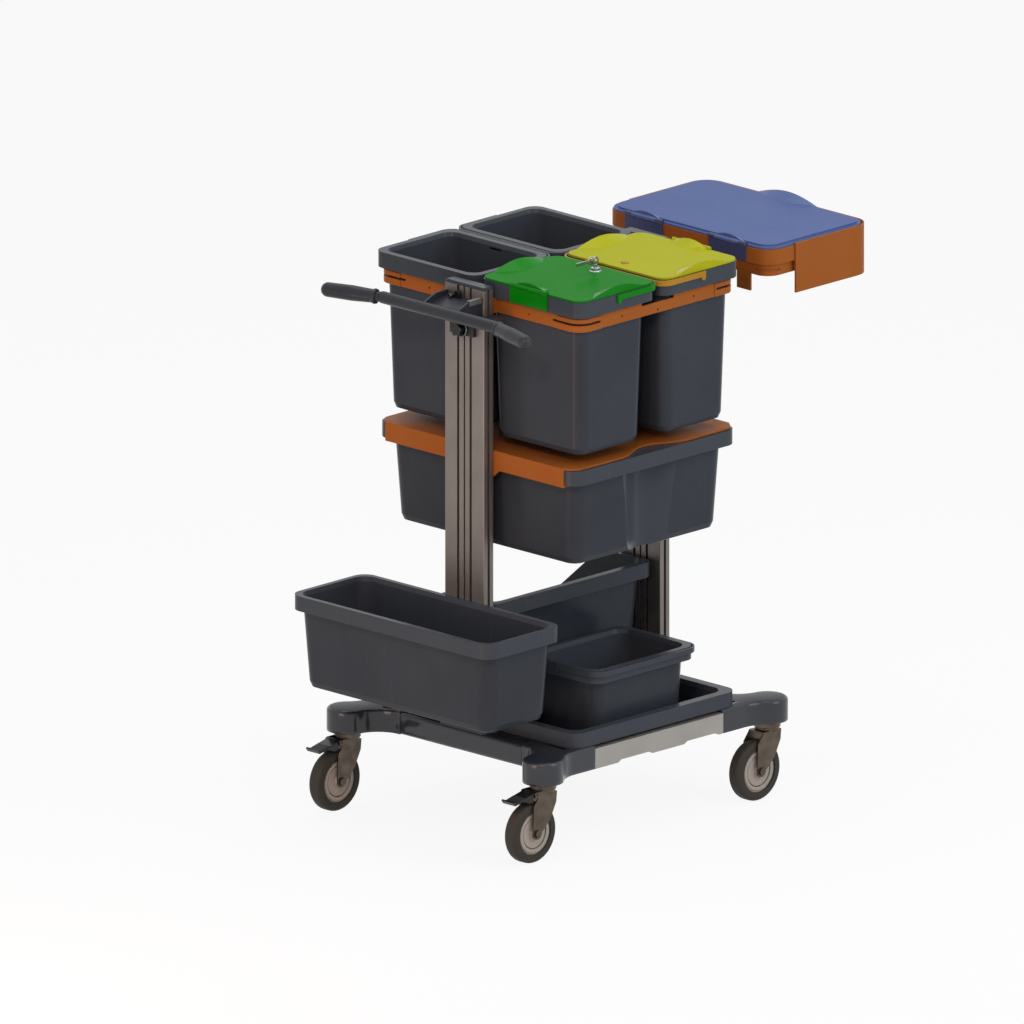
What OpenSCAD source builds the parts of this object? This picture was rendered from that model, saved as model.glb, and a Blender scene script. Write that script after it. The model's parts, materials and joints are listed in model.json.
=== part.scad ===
// Modular cleaning trolley: four-caster chassis, two slotted posts, hung trays, buckets and a bag holder.
// Frame: floor at z = 0, +x from the push handle towards the bag holder, +y to the left of the user.

/* [Posts] */
// Clear distance between the inner faces of the two posts
post_gap = 478; // [440:1:520]
// Width of a post across the cart
post_w = 110; // [90:1:120]
// Thickness of a post along the cart
post_t = 28; // [26:1:34]
// How far the posts' tops stand below the buckets' rims
post_drop = 12; // [8:1:24]
// Opening width of the two outer slots
slot_w = 6.5; // [5:0.5:8]
// Opening width of the middle slot
mid_slot_w = 4.3; // [3:0.1:6]
// Spacing of the slots on the wide faces
slot_pitch = 17.5; // [16:0.5:20]
// Depth of the slots
slot_d = 9; // [7:0.5:10]
// Thickness of the end caps
cap_t = 6; // [4:1:10]
// Thickness of the shoe around a post's foot
foot_t = 10; // [8:1:14]
// Height of the shoe
foot_h = 84; // [60:1:110]

/* [Chassis] */
// Height of the corner castings' underside
casting_z = 158; // [152:1:170]
// Height of the corner castings
casting_h = 51; // [48:1:60]
// Radius of the round caster housings
housing_r = 42; // [38:1:46]
// Rounding of a housing's lower edge
housing_edge = 10; // [4:1:14]
// Distance from the end bar's outer face to the caster axis
axis_from_bar = 45; // [40:1:60]
// Distance from the caster axis to the side rail's outer face
axis_to_rail = 12; // [8:1:20]
// Distance from the tray's rim to the side rail's outer face
rail_margin = 7; // [5:1:12]
// Radius of the concave sweep towards the side rail
sweep_rail = 70; // [50:1:80]
// Radius of the concave sweep towards the end bar
sweep_bar = 60; // [50:1:70]
// Straight length of a casting's arm before the side rail
arm_straight = 62; // [50:1:80]
// Width of the side rails and of the arms that carry them
rail_w = 26; // [20:1:27]
// Height of the side rails
rail_h = 42; // [38:1:44]
// Wall of the side rails and end bars
tube_wall = 3; // [2:0.5:4]
// Thickness of a side rail's lower flange
rail_base = 9; // [8:0.5:11]
// Depth of the shallow cut-outs under a side rail
rail_cut = 5; // [3:0.5:6]
// Width of the end bars
bar_w = 30; // [28:1:32]
// Height of the end bars
bar_h = 45; // [42:1:46]
// Length of the tongues that plug into rails and bars
tongue_l = 30; // [20:1:40]

/* [Casters] */
// Wheel diameter
wheel_d = 125; // [110:1:126]
// Tyre width
tyre_w = 30; // [26:1:32]
// Tyre section height
tyre_h = 18; // [14:1:22]
// Radius of the tread's shoulders
tread_r = 9; // [6:1:12]
// Distance from the swivel axis to the wheel's axle
trail = 37; // [30:1:42]
// Radius of the axle bolt
axle_r = 5; // [4:0.5:6]
// Radius of the swivel stem
stem_r = 6; // [5:0.5:8]
// Length of the stem inside the housing
stem_l = 40; // [30:1:44]
// Thickness of the fork's legs
leg_t = 3; // [2.5:0.5:4]
// Side room between tyre and fork
leg_gap = 3; // [2:0.5:5]
// Radius of the fork's swivel head
head_r = 27; // [24:1:32]
// Length of the brake pedal from its pivot
pedal_l = 62; // [50:1:80]
// Thickness of the brake pedal
pedal_t = 4; // [3:0.5:5]

/* [Moulded trays] */
// Width of the trays and of the drawer across the cart
tub_y = 560; // [520:1:600]
// Gap between a tray's rim and a post
tub_gap = 4; // [3:0.5:6]
// Height of the turned-down rims
rim_h = 31; // [26:1:36]
// Overhang of the drawer's rim beyond its walls
ledge = 17.5; // [16:0.5:22]
// Overhang of the base tray's rim
tray_ledge = 20; // [19:0.5:26]
// How far the mouths of the containers open out above their walls
flare = 3; // [1.5:0.5:3.5]
// Height of that opening out
flare_h = 9; // [6:1:10]
// Wall thickness of moulded containers
wall = 3; // [2.5:0.5:4]
// Draft of the walls, top to bottom, on each side
draft = 10; // [6:1:14]
// Corner radius of the trays
tub_r = 30; // [24:1:36]
// Rounding of the containers' lower edges
foot_r = 16; // [10:1:18]
// Depth of the base tray
tray_d = 70; // [50:1:72]
// Depth of the hand recess in the long rims
grip_d = 32; // [20:1:38]
// Width of the hand recess
grip_w = 190; // [150:1:230]

/* [Drawer] */
// Height of the drawer's rim
drawer_top = 787; // [770:1:792]
// Height of the drawer box
drawer_h = 208; // [170:1:220]
// Thickness of the shelf plate over the drawer
shelf_t = 4; // [3:0.5:6]
// Width of the runners under the drawer's rim
runner_w = 14; // [10:1:16]
// Width of the shelf's fixing tabs below the runners
tab_w = 150; // [120:1:170]
// Length of the shelf's fixing tabs
tab_h = 14; // [8:1:24]

/* [Front bin] */
// Length of the front bin along the cart
bin_x = 218; // [180:1:240]
// Height of the front bin's rim
bin_top = 476; // [440:1:520]
// Height of the front bin
bin_h = 196; // [170:1:220]
// Overhang of the front bin's rim
bin_ledge = 11; // [10:0.5:16]
// Width of the hanger across the cart
hanger_w = 196; // [160:1:240]
// Thickness of the hanger
hanger_t = 6; // [4:0.5:6]
// Height of the hanger's plate on the post
hanger_h = 62; // [40:1:90]

/* [Open-front bin] */
// Place of the bin's back face, measured across from the centre
side_back = 46; // [44:1:60]
// Width of the bin across the cart
side_y = 296; // [270:1:300]
// Height of the bin's back rim
side_top = 464; // [440:1:500]
// Overhang of the bin's rim
side_ledge = 15; // [12:1:20]
// Draft of the bin's walls, top to bottom, on each side
side_draft = 18; // [12:1:22]
// Distance from the back to where the mouth starts to fall
mouth_start = 140; // [110:1:170]
// Slope of the mouth in degrees
mouth_slope = 42; // [36:1:46]

/* [Small bucket] */
// Length of the small bucket along the cart
small_x = 292; // [250:1:310]
// Width of the small bucket across the cart
small_y = 212; // [190:1:214]
// Height of the small bucket
small_h = 177; // [150:1:190]
// Overhang of the small bucket's rim
small_ledge = 13; // [11:1:18]
// Height of the small bucket's rim
small_rim = 27; // [22:1:32]

/* [Buckets] */
// Length of a bucket's rim along the cart
bucket_x = 224; // [212:1:226]
// Width of a bucket's rim across the cart
bucket_y = 285; // [270:1:286]
// Spacing of the buckets along the cart
pitch_x = 241; // [238:1:244]
// Spacing of the buckets across the cart
pitch_y = 297; // [296:1:304]
// Height of the buckets' rims above the floor
bucket_top = 1141; // [1040:1:1280]
// Clear height between the shelf and the buckets' floors
bucket_air = 18.4; // [6:0.2:60]
// Height of a bucket's rim
bucket_rim = 33; // [26:1:36]
// Overhang of a bucket's rim
bucket_ledge = 14; // [13:1:16]
// Draft of a bucket's walls on each side
bucket_draft = 8; // [4:1:12]
// Corner radius of a bucket
bucket_r = 26; // [24:1:32]
// Visible height of the carrier's band, below the rims
frame_h = 31; // [26:1:40]
// Thickness of the frame's plate and band
frame_t = 4; // [3:0.5:5]
// How far the carrier's corners stand proud
corner_t = 2; // [1:0.5:3]
// Length of the carrier's proud corners
corner_l = 62; // [45:1:80]
// Room between the carrier's band and the buckets' walls
band_room = 2; // [1.5:0.5:3]
// Reach of the corner slits along the frame's ends
slit_y = 76; // [50:1:90]
// Reach of the corner slits along the frame's sides
slit_x = 58; // [40:1:70]
// Height of the slits
slit_h = 5; // [3:0.5:8]

/* [Bails] */
// Thickness of a bail
bail_t = 4; // [3:0.5:4.5]
// Height of a bail's section
bail_h = 11; // [8:1:12]
// Radius of a bail's pivot pins
bail_pin_r = 3; // [2:0.5:3.5]
// Distance of the pivots below the rim
bail_drop = 13.5; // [13:0.5:15]
// Height of a bow's strap above its pivots
bail_rise = 7.5; // [6:0.5:7.5]
// Room between a bow and the rim that it swings past
bail_swing = 3.4; // [3.2:0.1:3.8]

/* [Lids] */
// Thickness of the lids
lid_t = 4; // [3:0.5:6]
// Height of a lid's raised grips
grip_h = 14; // [8:1:18]
// Depth of a lid's raised grips
grip_y = 34; // [24:1:44]
// Half-width of the raised grips
grip_half = 72; // [55:1:85]
// Depth of the locating ring below a lid
ring_d = 2.5; // [2:0.5:3]
// Half-width of the bag lid's raised grip
lip_half = 88; // [60:1:110]
// Height of the bag lid's raised grip
lip_h = 18; // [10:1:22]
// Height of the raised knuckles along a lid's hinge
knuckle_h = 12; // [6:1:16]
// Depth of the raised knuckles along a lid's hinge
knuckle_y = 24; // [16:1:32]
// Radius of a hinge barrel
barrel_r = 4.5; // [4:0.5:6]
// Radius of a hinge pin
hinge_pin_r = 2; // [1.5:0.25:2.5]
// Width of a hinge clip
clip_w = 104; // [80:1:120]
// Distance from a hinge clip's plate to the lower edge of the rim it sits on
clip_short = 2; // [1:1:8]
// Thickness of a hinge clip
clip_t = 3; // [2:0.5:4]
// Radius of the lock on the lid
lock_r = 9; // [8:0.5:12]
// Height of the lock above the lid
lock_h = 7; // [5:1:10]

/* [Handle] */
// Distance of the handle bar's axis below the posts' tops
handle_drop = 39; // [34:1:60]
// Distance from the post to the bar's axis
handle_reach = 73; // [66:1:90]
// Radius of the handle bar
handle_r = 12.5; // [11:0.5:14]
// Half-length of the straight bar
handle_half = 157; // [130:1:180]
// Length of the swept grips
grip_len = 140; // [110:1:160]
// Sweep of the grips towards the user, in degrees
grip_sweep = 17; // [5:1:25]
// Radius of the grips
grip_r = 16; // [15:0.5:18]
// Width of the bracket at the post
bracket_post_w = 190; // [150:1:200]
// Width of the bracket at the bar
bracket_bar_w = 100; // [70:1:108]
// Depth of the bracket below the bar's axis
bracket_h = 26; // [22:1:30]
// Rise of the bracket's side plates above the bar's axis
plate_rise = 24; // [20:1:28]
// Height of the bracket's foot round the post
wing_h = 12; // [8:1:14]
// Wall of the bracket
bracket_t = 5; // [4:0.5:6]
// Radius of the clamp knob
knob_r = 15; // [12:1:18]
// Radius of the clamp knob's screw
knob_pin_r = 4; // [3:0.5:5]
// Width of the clamp plate
clamp_w = 66; // [50:1:90]
// Height of the clamp plate below the bracket
clamp_h = 34; // [30:1:44]
// Distance of the clamp knob below the bracket
knob_drop = 21; // [18:1:24]

/* [Bag holder] */
// Length of the bag holder along the cart
bag_x = 294; // [260:1:320]
// Width of the bag holder across the cart
bag_y = 461; // [420:1:500]
// Distance from the post to the bag holder
bag_reach = 103; // [80:1:120]
// Distance of the bag holder's top edge below the posts' tops
bag_drop = 12; // [2:1:40]
// Height of the bag holder's frame
bag_h = 32; // [26:1:40]
// Wall of the bag holder
bag_t = 4; // [3:0.5:5]
// Corner radius of the bag holder
bag_r = 40; // [32:1:48]
// Height of the clamp ring below the frame
ring_h = 25; // [20:1:32]
// Inset of the clamp ring
ring_in = 8; // [6:1:12]
// Height of the skirt's top edge above the frame
skirt_up = 4; // [2:1:6]
// Height of the skirt
skirt_h = 103; // [80:1:114]
// Length of the skirt along the cart
skirt_x = 222; // [180:1:240]
// Width of the carrying arm
arm_w = 86; // [70:1:104]
// Thickness of the carrying arm
arm_t = 8; // [6:1:10]

/* [Hidden] */
// Length of a hinge clip's ears
ear_l = 17;
$fn = 64;
// Clearance between parts that move past each other
fit = 0.3;
// Radial clearance of running pins
pin_fit = 0.05;
// Thin slices that blocks are blended from
skin = 0.2;
// Overlap of cutters past the faces that they open
over = 1;
// Facets of blended corners
fine = 32;

post_in = post_gap / 2;
post_out = post_in + post_t;
bar_out = post_out + foot_t;
axis_x = bar_out + axis_from_bar;
rail_out = tub_y / 2 + rail_margin;
axis_y = rail_out - axis_to_rail;
casting_top = casting_z + casting_h;
frame_z = casting_z + 3;
bar_top = frame_z + bar_h;
sweep_rail_c = [
    axis_x - sqrt(pow(housing_r + sweep_rail, 2) - pow(rail_out + sweep_rail - axis_y, 2)),
    rail_out + sweep_rail
];
sweep_bar_c = [
    bar_out + sweep_bar,
    axis_y - sqrt(pow(housing_r + sweep_bar, 2) - pow(bar_out + sweep_bar - axis_x, 2))
];
rail_end = sweep_rail_c.x - arm_straight;
bar_end = sweep_bar_c.y - 2;

wheel_r = wheel_d / 2;
fork_top = casting_z - fit;
crown_z = wheel_r * 2 + 14;
leg_in = tyre_w / 2 + leg_gap;
leg_out = leg_in + leg_t;
pedal_x = -head_r - 10;
pedal_z = crown_z + 4;
pedal_pin_r = 3;

tub_x = post_gap - 2 * tub_gap;
tray_top = casting_top + rim_h;
tray_floor = tray_top - tray_d + wall;
shelf_z = drawer_top + 2 * fit;
bucket_h = bucket_top - shelf_z - shelf_t - bucket_air;
post_top = bucket_top - post_drop;
handle_z = post_top - handle_drop;
bag_top = post_top - bag_drop;
runner_z = drawer_top - rim_h - fit;
bin_mid = -post_out - 2 * fit - bin_x / 2;
side_x = tub_x;
small_mid_x = -9;
small_mid_y = -side_back - 2 - small_y / 2;
small_top = tray_floor + fit + small_h;
lid_z = bucket_top + fit;
frame_top = bucket_top - bucket_rim - fit;
frame_x = pitch_x + bucket_x - 2 * bucket_ledge + 2 * band_room + 2 * frame_t;
frame_y = pitch_y + bucket_y - 2 * bucket_ledge + 2 * band_room + 2 * frame_t;
lock_in = 34;
hinge_x = -bucket_x / 2 - 1;
hinge_z = lid_z + barrel_r + fit;
bail_in_x = bucket_x / 2 + bail_swing;
bail_in_y = bucket_y / 2 + fit;
bail_z = bucket_top - bail_drop;
bag_mid = post_out + bag_reach + bag_x / 2;
bag_lid_z = bag_top + fit;
bag_hinge_x = -bag_x / 2 - 1;
bag_hinge_z = bag_lid_z + barrel_r + fit;
bag_clip_y = bag_y / 4 + 2;
handle_x = -post_out - handle_reach;
wing_t = 10;
wing_x = -post_in - 4;

CORNERS = [["front_left", -1, 1], ["front_right", -1, -1], ["rear_left", 1, 1], ["rear_right", 1, -1]];

graphite = "#2f333a";
alloy = "#a9a49d";
zinc = "#8d857a";
orange = "#c8681f";

// Rectangle with round corners
module rounded_rect(x, y, r) {
    square([x - 2 * r, y], center = true);
    square([x, y - 2 * r], center = true);
    for (sx = [-1, 1], sy = [-1, 1])
        translate([sx * (x / 2 - r), sy * (y / 2 - r)])
            circle(r);
}

// Mirrors a part modelled in the +x +y quarter into another one
module quarter(sx, sy) {
    mirror([sx < 0 ? 1 : 0, 0, 0])
        mirror([0, sy < 0 ? 1 : 0, 0])
            children();
}

// Block with drafted walls and a rounded foot, hanging down from z = 0
module drafted(x, y, h, taper, r, foot) {
    hull() {
        translate([0, 0, -skin])
            linear_extrude(skin)
                rounded_rect(x, y, r, $fn = fine);
        translate([0, 0, -h + foot])
            linear_extrude(skin)
                rounded_rect(x - 2 * taper, y - 2 * taper, r, $fn = fine);
        translate([0, 0, -h + foot * 0.3])
            linear_extrude(skin)
                rounded_rect(
                    x - 2 * taper - foot * 0.6, y - 2 * taper - foot * 0.6, r - foot * 0.3, $fn = fine
                );
        translate([0, 0, -h])
            linear_extrude(skin)
                rounded_rect(x - 2 * taper - 2 * foot, y - 2 * taper - 2 * foot, r - foot / 2, $fn = fine);
    }
}

// Smooth hand recess: a raised cosine along x that reaches depth into +y from the edge
module recess(width, depth, edge) {
    steps = 24;
    polygon(concat(
        [[-width / 2, -edge]],
        [for (i = [0:steps])
            [width * (i / steps - 0.5), depth * (1 - cos(360 * i / steps)) / 2]],
        [[width / 2, -edge]]
    ));
}

// Cutter that opens out the mouth of a container whose cavity measures x by y at its rim
module mouth(x, y, r) {
    hull() {
        linear_extrude(skin)
            rounded_rect(x + 2 * flare, y + 2 * flare, r + flare, $fn = fine);
        translate([0, 0, -flare_h])
            linear_extrude(skin)
                rounded_rect(x - 1, y - 1, r, $fn = fine);
    }
}

// Open container with a turned-down rim, hanging down from its rim at z = 0
module tub(x, y, h, rim, lip, taper, r, grip = 0) {
    wall_x = x - 2 * lip;
    wall_y = y - 2 * lip;
    difference() {
        union() {
            drafted(wall_x, wall_y, h, taper, r, foot_r);
            translate([0, 0, -rim])
                linear_extrude(rim)
                    rounded_rect(x, y, r);
        }
        difference() {
            translate([0, 0, skin])
                drafted(wall_x - 2 * wall, wall_y - 2 * wall, h - wall + skin, taper, r - wall, foot_r);
            if (grip > 0)
                for (s = [0, 1])
                    mirror([0, s, 0])
                        translate([0, -wall_y / 2, -h - over])
                            linear_extrude(h + 2 * over)
                                recess(grip_w, grip + wall, lip);
        }
        if (grip == 0)
            mouth(wall_x - 2 * wall, wall_y - 2 * wall, r - wall);
        translate([0, 0, -rim - over])
            linear_extrude(rim - wall + over)
                difference() {
                    rounded_rect(x - 2 * wall, y - 2 * wall, r - wall);
                    rounded_rect(wall_x, wall_y, r);
                }
        if (grip > 0)
            for (s = [0, 1])
                mirror([0, s, 0])
                    translate([0, -wall_y / 2, -h - over])
                        linear_extrude(h - wall + over)
                            recess(grip_w - 2 * wall, grip, lip - wall - fit);
    }
}

// Corner casting, modelled in the +x +y quarter
module casting() {
    color(graphite)
        difference() {
            union() {
                translate([axis_x, axis_y, casting_z])
                    rotate_extrude()
                        union() {
                            square([housing_r - housing_edge, casting_h]);
                            translate([0, housing_edge])
                                square([housing_r, casting_h - housing_edge]);
                            translate([housing_r - housing_edge, housing_edge])
                                intersection() {
                                    circle(housing_edge);
                                    translate([0, -housing_edge])
                                        square([housing_edge, 2 * housing_edge]);
                                }
                        }
                translate([0, 0, frame_z])
                    linear_extrude(casting_top - frame_z)
                        casting_plan();
                translate([
                    rail_end - tongue_l, rail_out - rail_w + tube_wall + fit, frame_z + rail_base + fit
                ])
                    cube([
                        tongue_l + over, rail_w - 2 * tube_wall - 2 * fit,
                        rail_h - rail_base - tube_wall - 2 * fit
                    ]);
                translate([bar_out - bar_w + tube_wall + fit, bar_end - tongue_l, frame_z + tube_wall + fit])
                    cube([
                        bar_w - 2 * tube_wall - 2 * fit, tongue_l + over,
                        bar_h - 2 * tube_wall - 2 * fit
                    ]);
            }
            translate([axis_x, axis_y, casting_z - over])
                cylinder(r = stem_r + pin_fit, h = stem_l + over);
        }
}

module casting_plan() {
    hub = [axis_x, axis_y];
    translate(hub)
        circle(housing_r);
    translate([rail_end, rail_out - rail_w])
        square([axis_x - rail_end, rail_w]);
    translate([bar_out - bar_w, bar_end])
        square([bar_w, rail_out - bar_end]);
    translate([bar_out - bar_w, rail_out - rail_w])
        square([axis_x - bar_out + bar_w, rail_w]);
    difference() {
        polygon([hub, sweep_rail_c, [sweep_rail_c.x, axis_y]]);
        translate(sweep_rail_c)
            circle(sweep_rail);
    }
    difference() {
        polygon([hub, sweep_bar_c, [bar_out - over, sweep_bar_c.y], [bar_out - over, axis_y]]);
        translate(sweep_bar_c)
            circle(sweep_bar);
    }
}

// Hollow side rails with shallow cut-outs along their lower edge
module side_rails() {
    cut_len = rail_end / 2;
    color(alloy)
        for (s = [0, 1])
            mirror([0, s, 0])
                difference() {
                    translate([-rail_end, rail_out - rail_w, frame_z])
                        cube([2 * rail_end, rail_w, rail_h]);
                    translate([-rail_end - over, rail_out - rail_w + tube_wall, frame_z + rail_base])
                        cube([
                            2 * rail_end + 2 * over, rail_w - 2 * tube_wall,
                            rail_h - rail_base - tube_wall
                        ]);
                    for (x = [-rail_end * 0.37, rail_end * 0.66])
                        translate([x, rail_out + over, frame_z])
                            rotate([90, 0, 0])
                                linear_extrude(rail_w + 2 * over)
                                    polygon([
                                        [-cut_len / 2 - rail_cut, -over],
                                        [-cut_len / 2 + rail_cut, rail_cut],
                                        [cut_len / 2 - rail_cut, rail_cut],
                                        [cut_len / 2 + rail_cut, -over]
                                    ]);
                }
}

module end_bars() {
    edge = 6;
    color(graphite)
        for (s = [0, 1])
            mirror([s, 0, 0])
                translate([bar_out - bar_w / 2, bar_end, frame_z + bar_h / 2])
                    rotate([90, 0, 0])
                        linear_extrude(2 * bar_end)
                            difference() {
                                rounded_rect(bar_w, bar_h, edge);
                                square([bar_w - 2 * tube_wall, bar_h - 2 * tube_wall], center = true);
                            }
}

module base_tray() {
    color(graphite)
        translate([0, 0, tray_top])
            tub(tub_x, tub_y, tray_d, rim_h, tray_ledge, draft / 3, tub_r);
}

// Slotted extrusion, wide across the cart
module post(s) {
    neck = 2.5;
    well = 11;
    lobe_w = (post_w - 2 * slot_pitch - well) / 2 - 12;
    color(alloy)
        translate([s * (post_in + post_t / 2), 0, bar_top])
            linear_extrude(post_top - bar_top)
                difference() {
                    rounded_rect(post_t, post_w, 2);
                    for (f = [-1, 1]) {
                        for (y = [-slot_pitch, 0, slot_pitch]) {
                            w = y == 0 ? mid_slot_w : slot_w;
                            translate([f * post_t / 2, y])
                                square([2 * slot_d, w], center = true);
                            if (y != 0)
                                translate([f * (post_t / 2 - neck - (slot_d - neck) / 2), y])
                                    square([slot_d - neck, well], center = true);
                        }
                        translate([0, f * post_w / 2])
                            square([slot_w, 2 * slot_d], center = true);
                        translate([0, f * (slot_pitch + well / 2 + 6 + lobe_w / 2)])
                            square([post_t - 10, lobe_w - slot_d], center = true);
                    }
                }
}

module post_caps() {
    color(graphite)
        for (s = [-1, 1])
            translate([s * (post_in + post_t / 2), 0, post_top])
                union() {
                    linear_extrude(cap_t - 2)
                        rounded_rect(post_t, post_w, 2);
                    linear_extrude(cap_t)
                        rounded_rect(post_t - 4, post_w - 4, 2);
                }
}

// Shoe that holds a post's foot on the end bar
module post_feet() {
    cheek = 10;
    color(graphite)
        for (s = [0, 1])
            mirror([s, 0, 0])
                translate([0, 0, bar_top])
                    difference() {
                        translate([post_in + fit, -post_w / 2 - cheek, 0])
                            cube([post_t + foot_t - fit, post_w + 2 * cheek, foot_h]);
                        translate([post_in - over, -post_w / 2, -over])
                            cube([post_t + over, post_w, foot_h + 2 * over]);
                        for (y = [-post_w / 2 - cheek, post_w / 2 + cheek])
                            translate([bar_out, y, foot_h])
                                rotate([0, 0, 45])
                                    cube([foot_t, foot_t, 2 * foot_h + 2 * over], center = true);
                    }
}

// Bolts that hold the casters, with their heads below the fork crowns
module caster_stems() {
    head = 4;
    color(zinc)
        for (c = CORNERS)
            translate([c[1] * axis_x, c[2] * axis_y, crown_z - fit - head])
                union() {
                    cylinder(r = stem_r * 1.8, h = head, $fn = 6);
                    cylinder(r = stem_r, h = casting_z + stem_l - crown_z);
                }
}

// Moves a part modelled on the swivel axis to a corner
module at_caster(sx, sy) {
    translate([sx * axis_x, sy * axis_y, 0])
        children();
}

// Pressed steel fork with its axle bolt, trailing towards the handle
module fork(ears) {
    leg_top = 19;
    leg_foot = 12;
    nut = 4;
    color(zinc) {
        difference() {
            union() {
                translate([0, 0, crown_z])
                    rotate_extrude()
                        polygon([
                            [0, 0], [head_r - 6, 0], [head_r - 2, 4], [head_r - 2, 8],
                            [head_r, 9], [head_r, fork_top - crown_z], [0, fork_top - crown_z]
                        ]);
                translate([-trail + leg_foot / 2, -leg_out, crown_z])
                    cube([trail - leg_foot / 2 + leg_top, 2 * leg_out, leg_t]);
                for (y = [-leg_out, leg_in])
                    translate([0, y + leg_t, 0])
                        rotate([90, 0, 0])
                            linear_extrude(leg_t)
                                union() {
                                    polygon([
                                        [-trail + leg_foot / 2, crown_z + over], [leg_top, crown_z + over],
                                        [leg_top - 2, crown_z - leg_top], [0, wheel_r + 2 * leg_foot],
                                        [-trail + leg_foot, wheel_r], [-trail - leg_foot, wheel_r],
                                        [-trail - leg_foot + 2, crown_z - leg_top]
                                    ]);
                                    translate([-trail, wheel_r])
                                        circle(leg_foot);
                                    if (ears) {
                                        translate([pedal_x, pedal_z])
                                            circle(pedal_pin_r + 3);
                                        translate([pedal_x, pedal_z - pedal_pin_r - 3])
                                            square([-pedal_x, 2 * pedal_pin_r + 6]);
                                    }
                                }
            }
            translate([0, 0, -over])
                cylinder(r = stem_r + pin_fit, h = fork_top + 2 * over);
            translate([-trail, 0, wheel_r])
                rotate([90, 0, 0])
                    cylinder(r = axle_r + pin_fit, h = 2 * leg_out + 2 * over, center = true);
            if (ears)
                translate([pedal_x, 0, pedal_z])
                    rotate([90, 0, 0])
                        cylinder(r = pedal_pin_r + pin_fit, h = 2 * leg_out + 2 * over, center = true);
        }
        translate([-trail, 0, wheel_r])
            rotate([90, 0, 0])
                union() {
                    cylinder(r = axle_r, h = 2 * leg_out + 2 * nut, center = true);
                    for (s = [0, 1])
                        mirror([0, 0, s])
                            translate([0, 0, leg_out + fit])
                                cylinder(r = axle_r * 1.7, h = nut, $fn = 6);
                }
    }
}

// Wheel centre with a boss, a web and a groove inside its raised ring
module hub() {
    rim_r = wheel_r - tyre_h - fit / 3;
    boss = axle_r + 6;
    half = tyre_w / 2 - 2;
    web = half - 1.5;
    deep = half - 6;
    ring = 11;
    groove = 2.5;
    color("#b9b7b2")
        translate([-trail, 0, wheel_r])
            rotate([90, 0, 0])
                difference() {
                    rotate_extrude()
                        polygon([
                            [0, -leg_in + 1], [boss, -leg_in + 1], [boss, -web],
                            [rim_r - ring - groove, -web],
                            [rim_r - ring - groove, -deep], [rim_r - ring, -deep], [rim_r - ring, -half],
                            [rim_r - 4, -half], [rim_r - 3, -half + 2], [rim_r, -half + 2],
                            [rim_r, half - 2], [rim_r - 3, half - 2], [rim_r - 4, half],
                            [rim_r - ring, half], [rim_r - ring, deep], [rim_r - ring - groove, deep],
                            [rim_r - ring - groove, web], [boss, web], [boss, leg_in - 1], [0, leg_in - 1]
                        ]);
                    cylinder(r = axle_r + pin_fit, h = 4 * leg_in, center = true);
                }
}

module tyre() {
    core = tyre_w - 2 * tread_r;
    color("#4a4a4a")
        translate([-trail, 0, wheel_r])
            rotate([90, 0, 0])
                rotate_extrude()
                    union() {
                        translate([wheel_r - tyre_h, -tyre_w / 2])
                            square([tyre_h - tread_r, tyre_w]);
                        translate([wheel_r - tyre_h, -core / 2])
                            square([tyre_h, core]);
                        for (s = [-1, 1])
                            translate([wheel_r - tread_r, s * core / 2])
                                circle(tread_r);
                    }
}

// Foot brake: a lever with a turned-up toe and a shoe above the tyre
module pedal() {
    half = leg_in - 2 * fit;
    eye = pedal_pin_r + 2.5;
    shoe = 15;
    fall = 13;
    color(zinc)
        translate([pedal_x, 0, pedal_z])
            rotate([90, 0, 0])
                union() {
                    translate([0, 0, -half])
                        linear_extrude(2 * half)
                            union() {
                                circle(eye);
                                polygon([
                                    [0, eye], [-pedal_l * 0.45, eye - fall / 2], [-pedal_l + 6, eye - fall],
                                    [-pedal_l, eye - fall + 5], [-pedal_l - 3, eye - fall + 3],
                                    [-pedal_l + 2, eye - fall - pedal_t],
                                    [-pedal_l * 0.45, eye - fall / 2 - pedal_t], [0, -eye]
                                ]);
                                polygon([[-8, 0], [-20, 0], [-20, -shoe + 1], [-8, -shoe]]);
                            }
                    cylinder(r = pedal_pin_r, h = 2 * leg_out, center = true);
                }
}

module front_bin() {
    color(graphite)
        translate([bin_mid, 0, bin_top])
            tub(bin_x, tub_y, bin_h, rim_h, bin_ledge, draft, tub_r);
}

// Hook that carries the front bin by its rim on the post
module front_bin_hanger() {
    hook_x = bin_ledge;
    hook_up = rim_h - wall + 2 - fit;
    base = bin_top - rim_h - 2;
    color(graphite)
        translate([-post_out, hanger_w / 2, base])
            rotate([90, 0, 0])
                linear_extrude(hanger_w)
                    polygon([
                        [0, -hanger_h], [0, 0], [-hook_x + hanger_t, 0], [-hook_x + hanger_t, hook_up],
                        [-hook_x, hook_up], [-hook_x, -hanger_t], [-hanger_t, -hanger_t],
                        [-hanger_t, -hanger_h]
                    ]);
}

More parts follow.
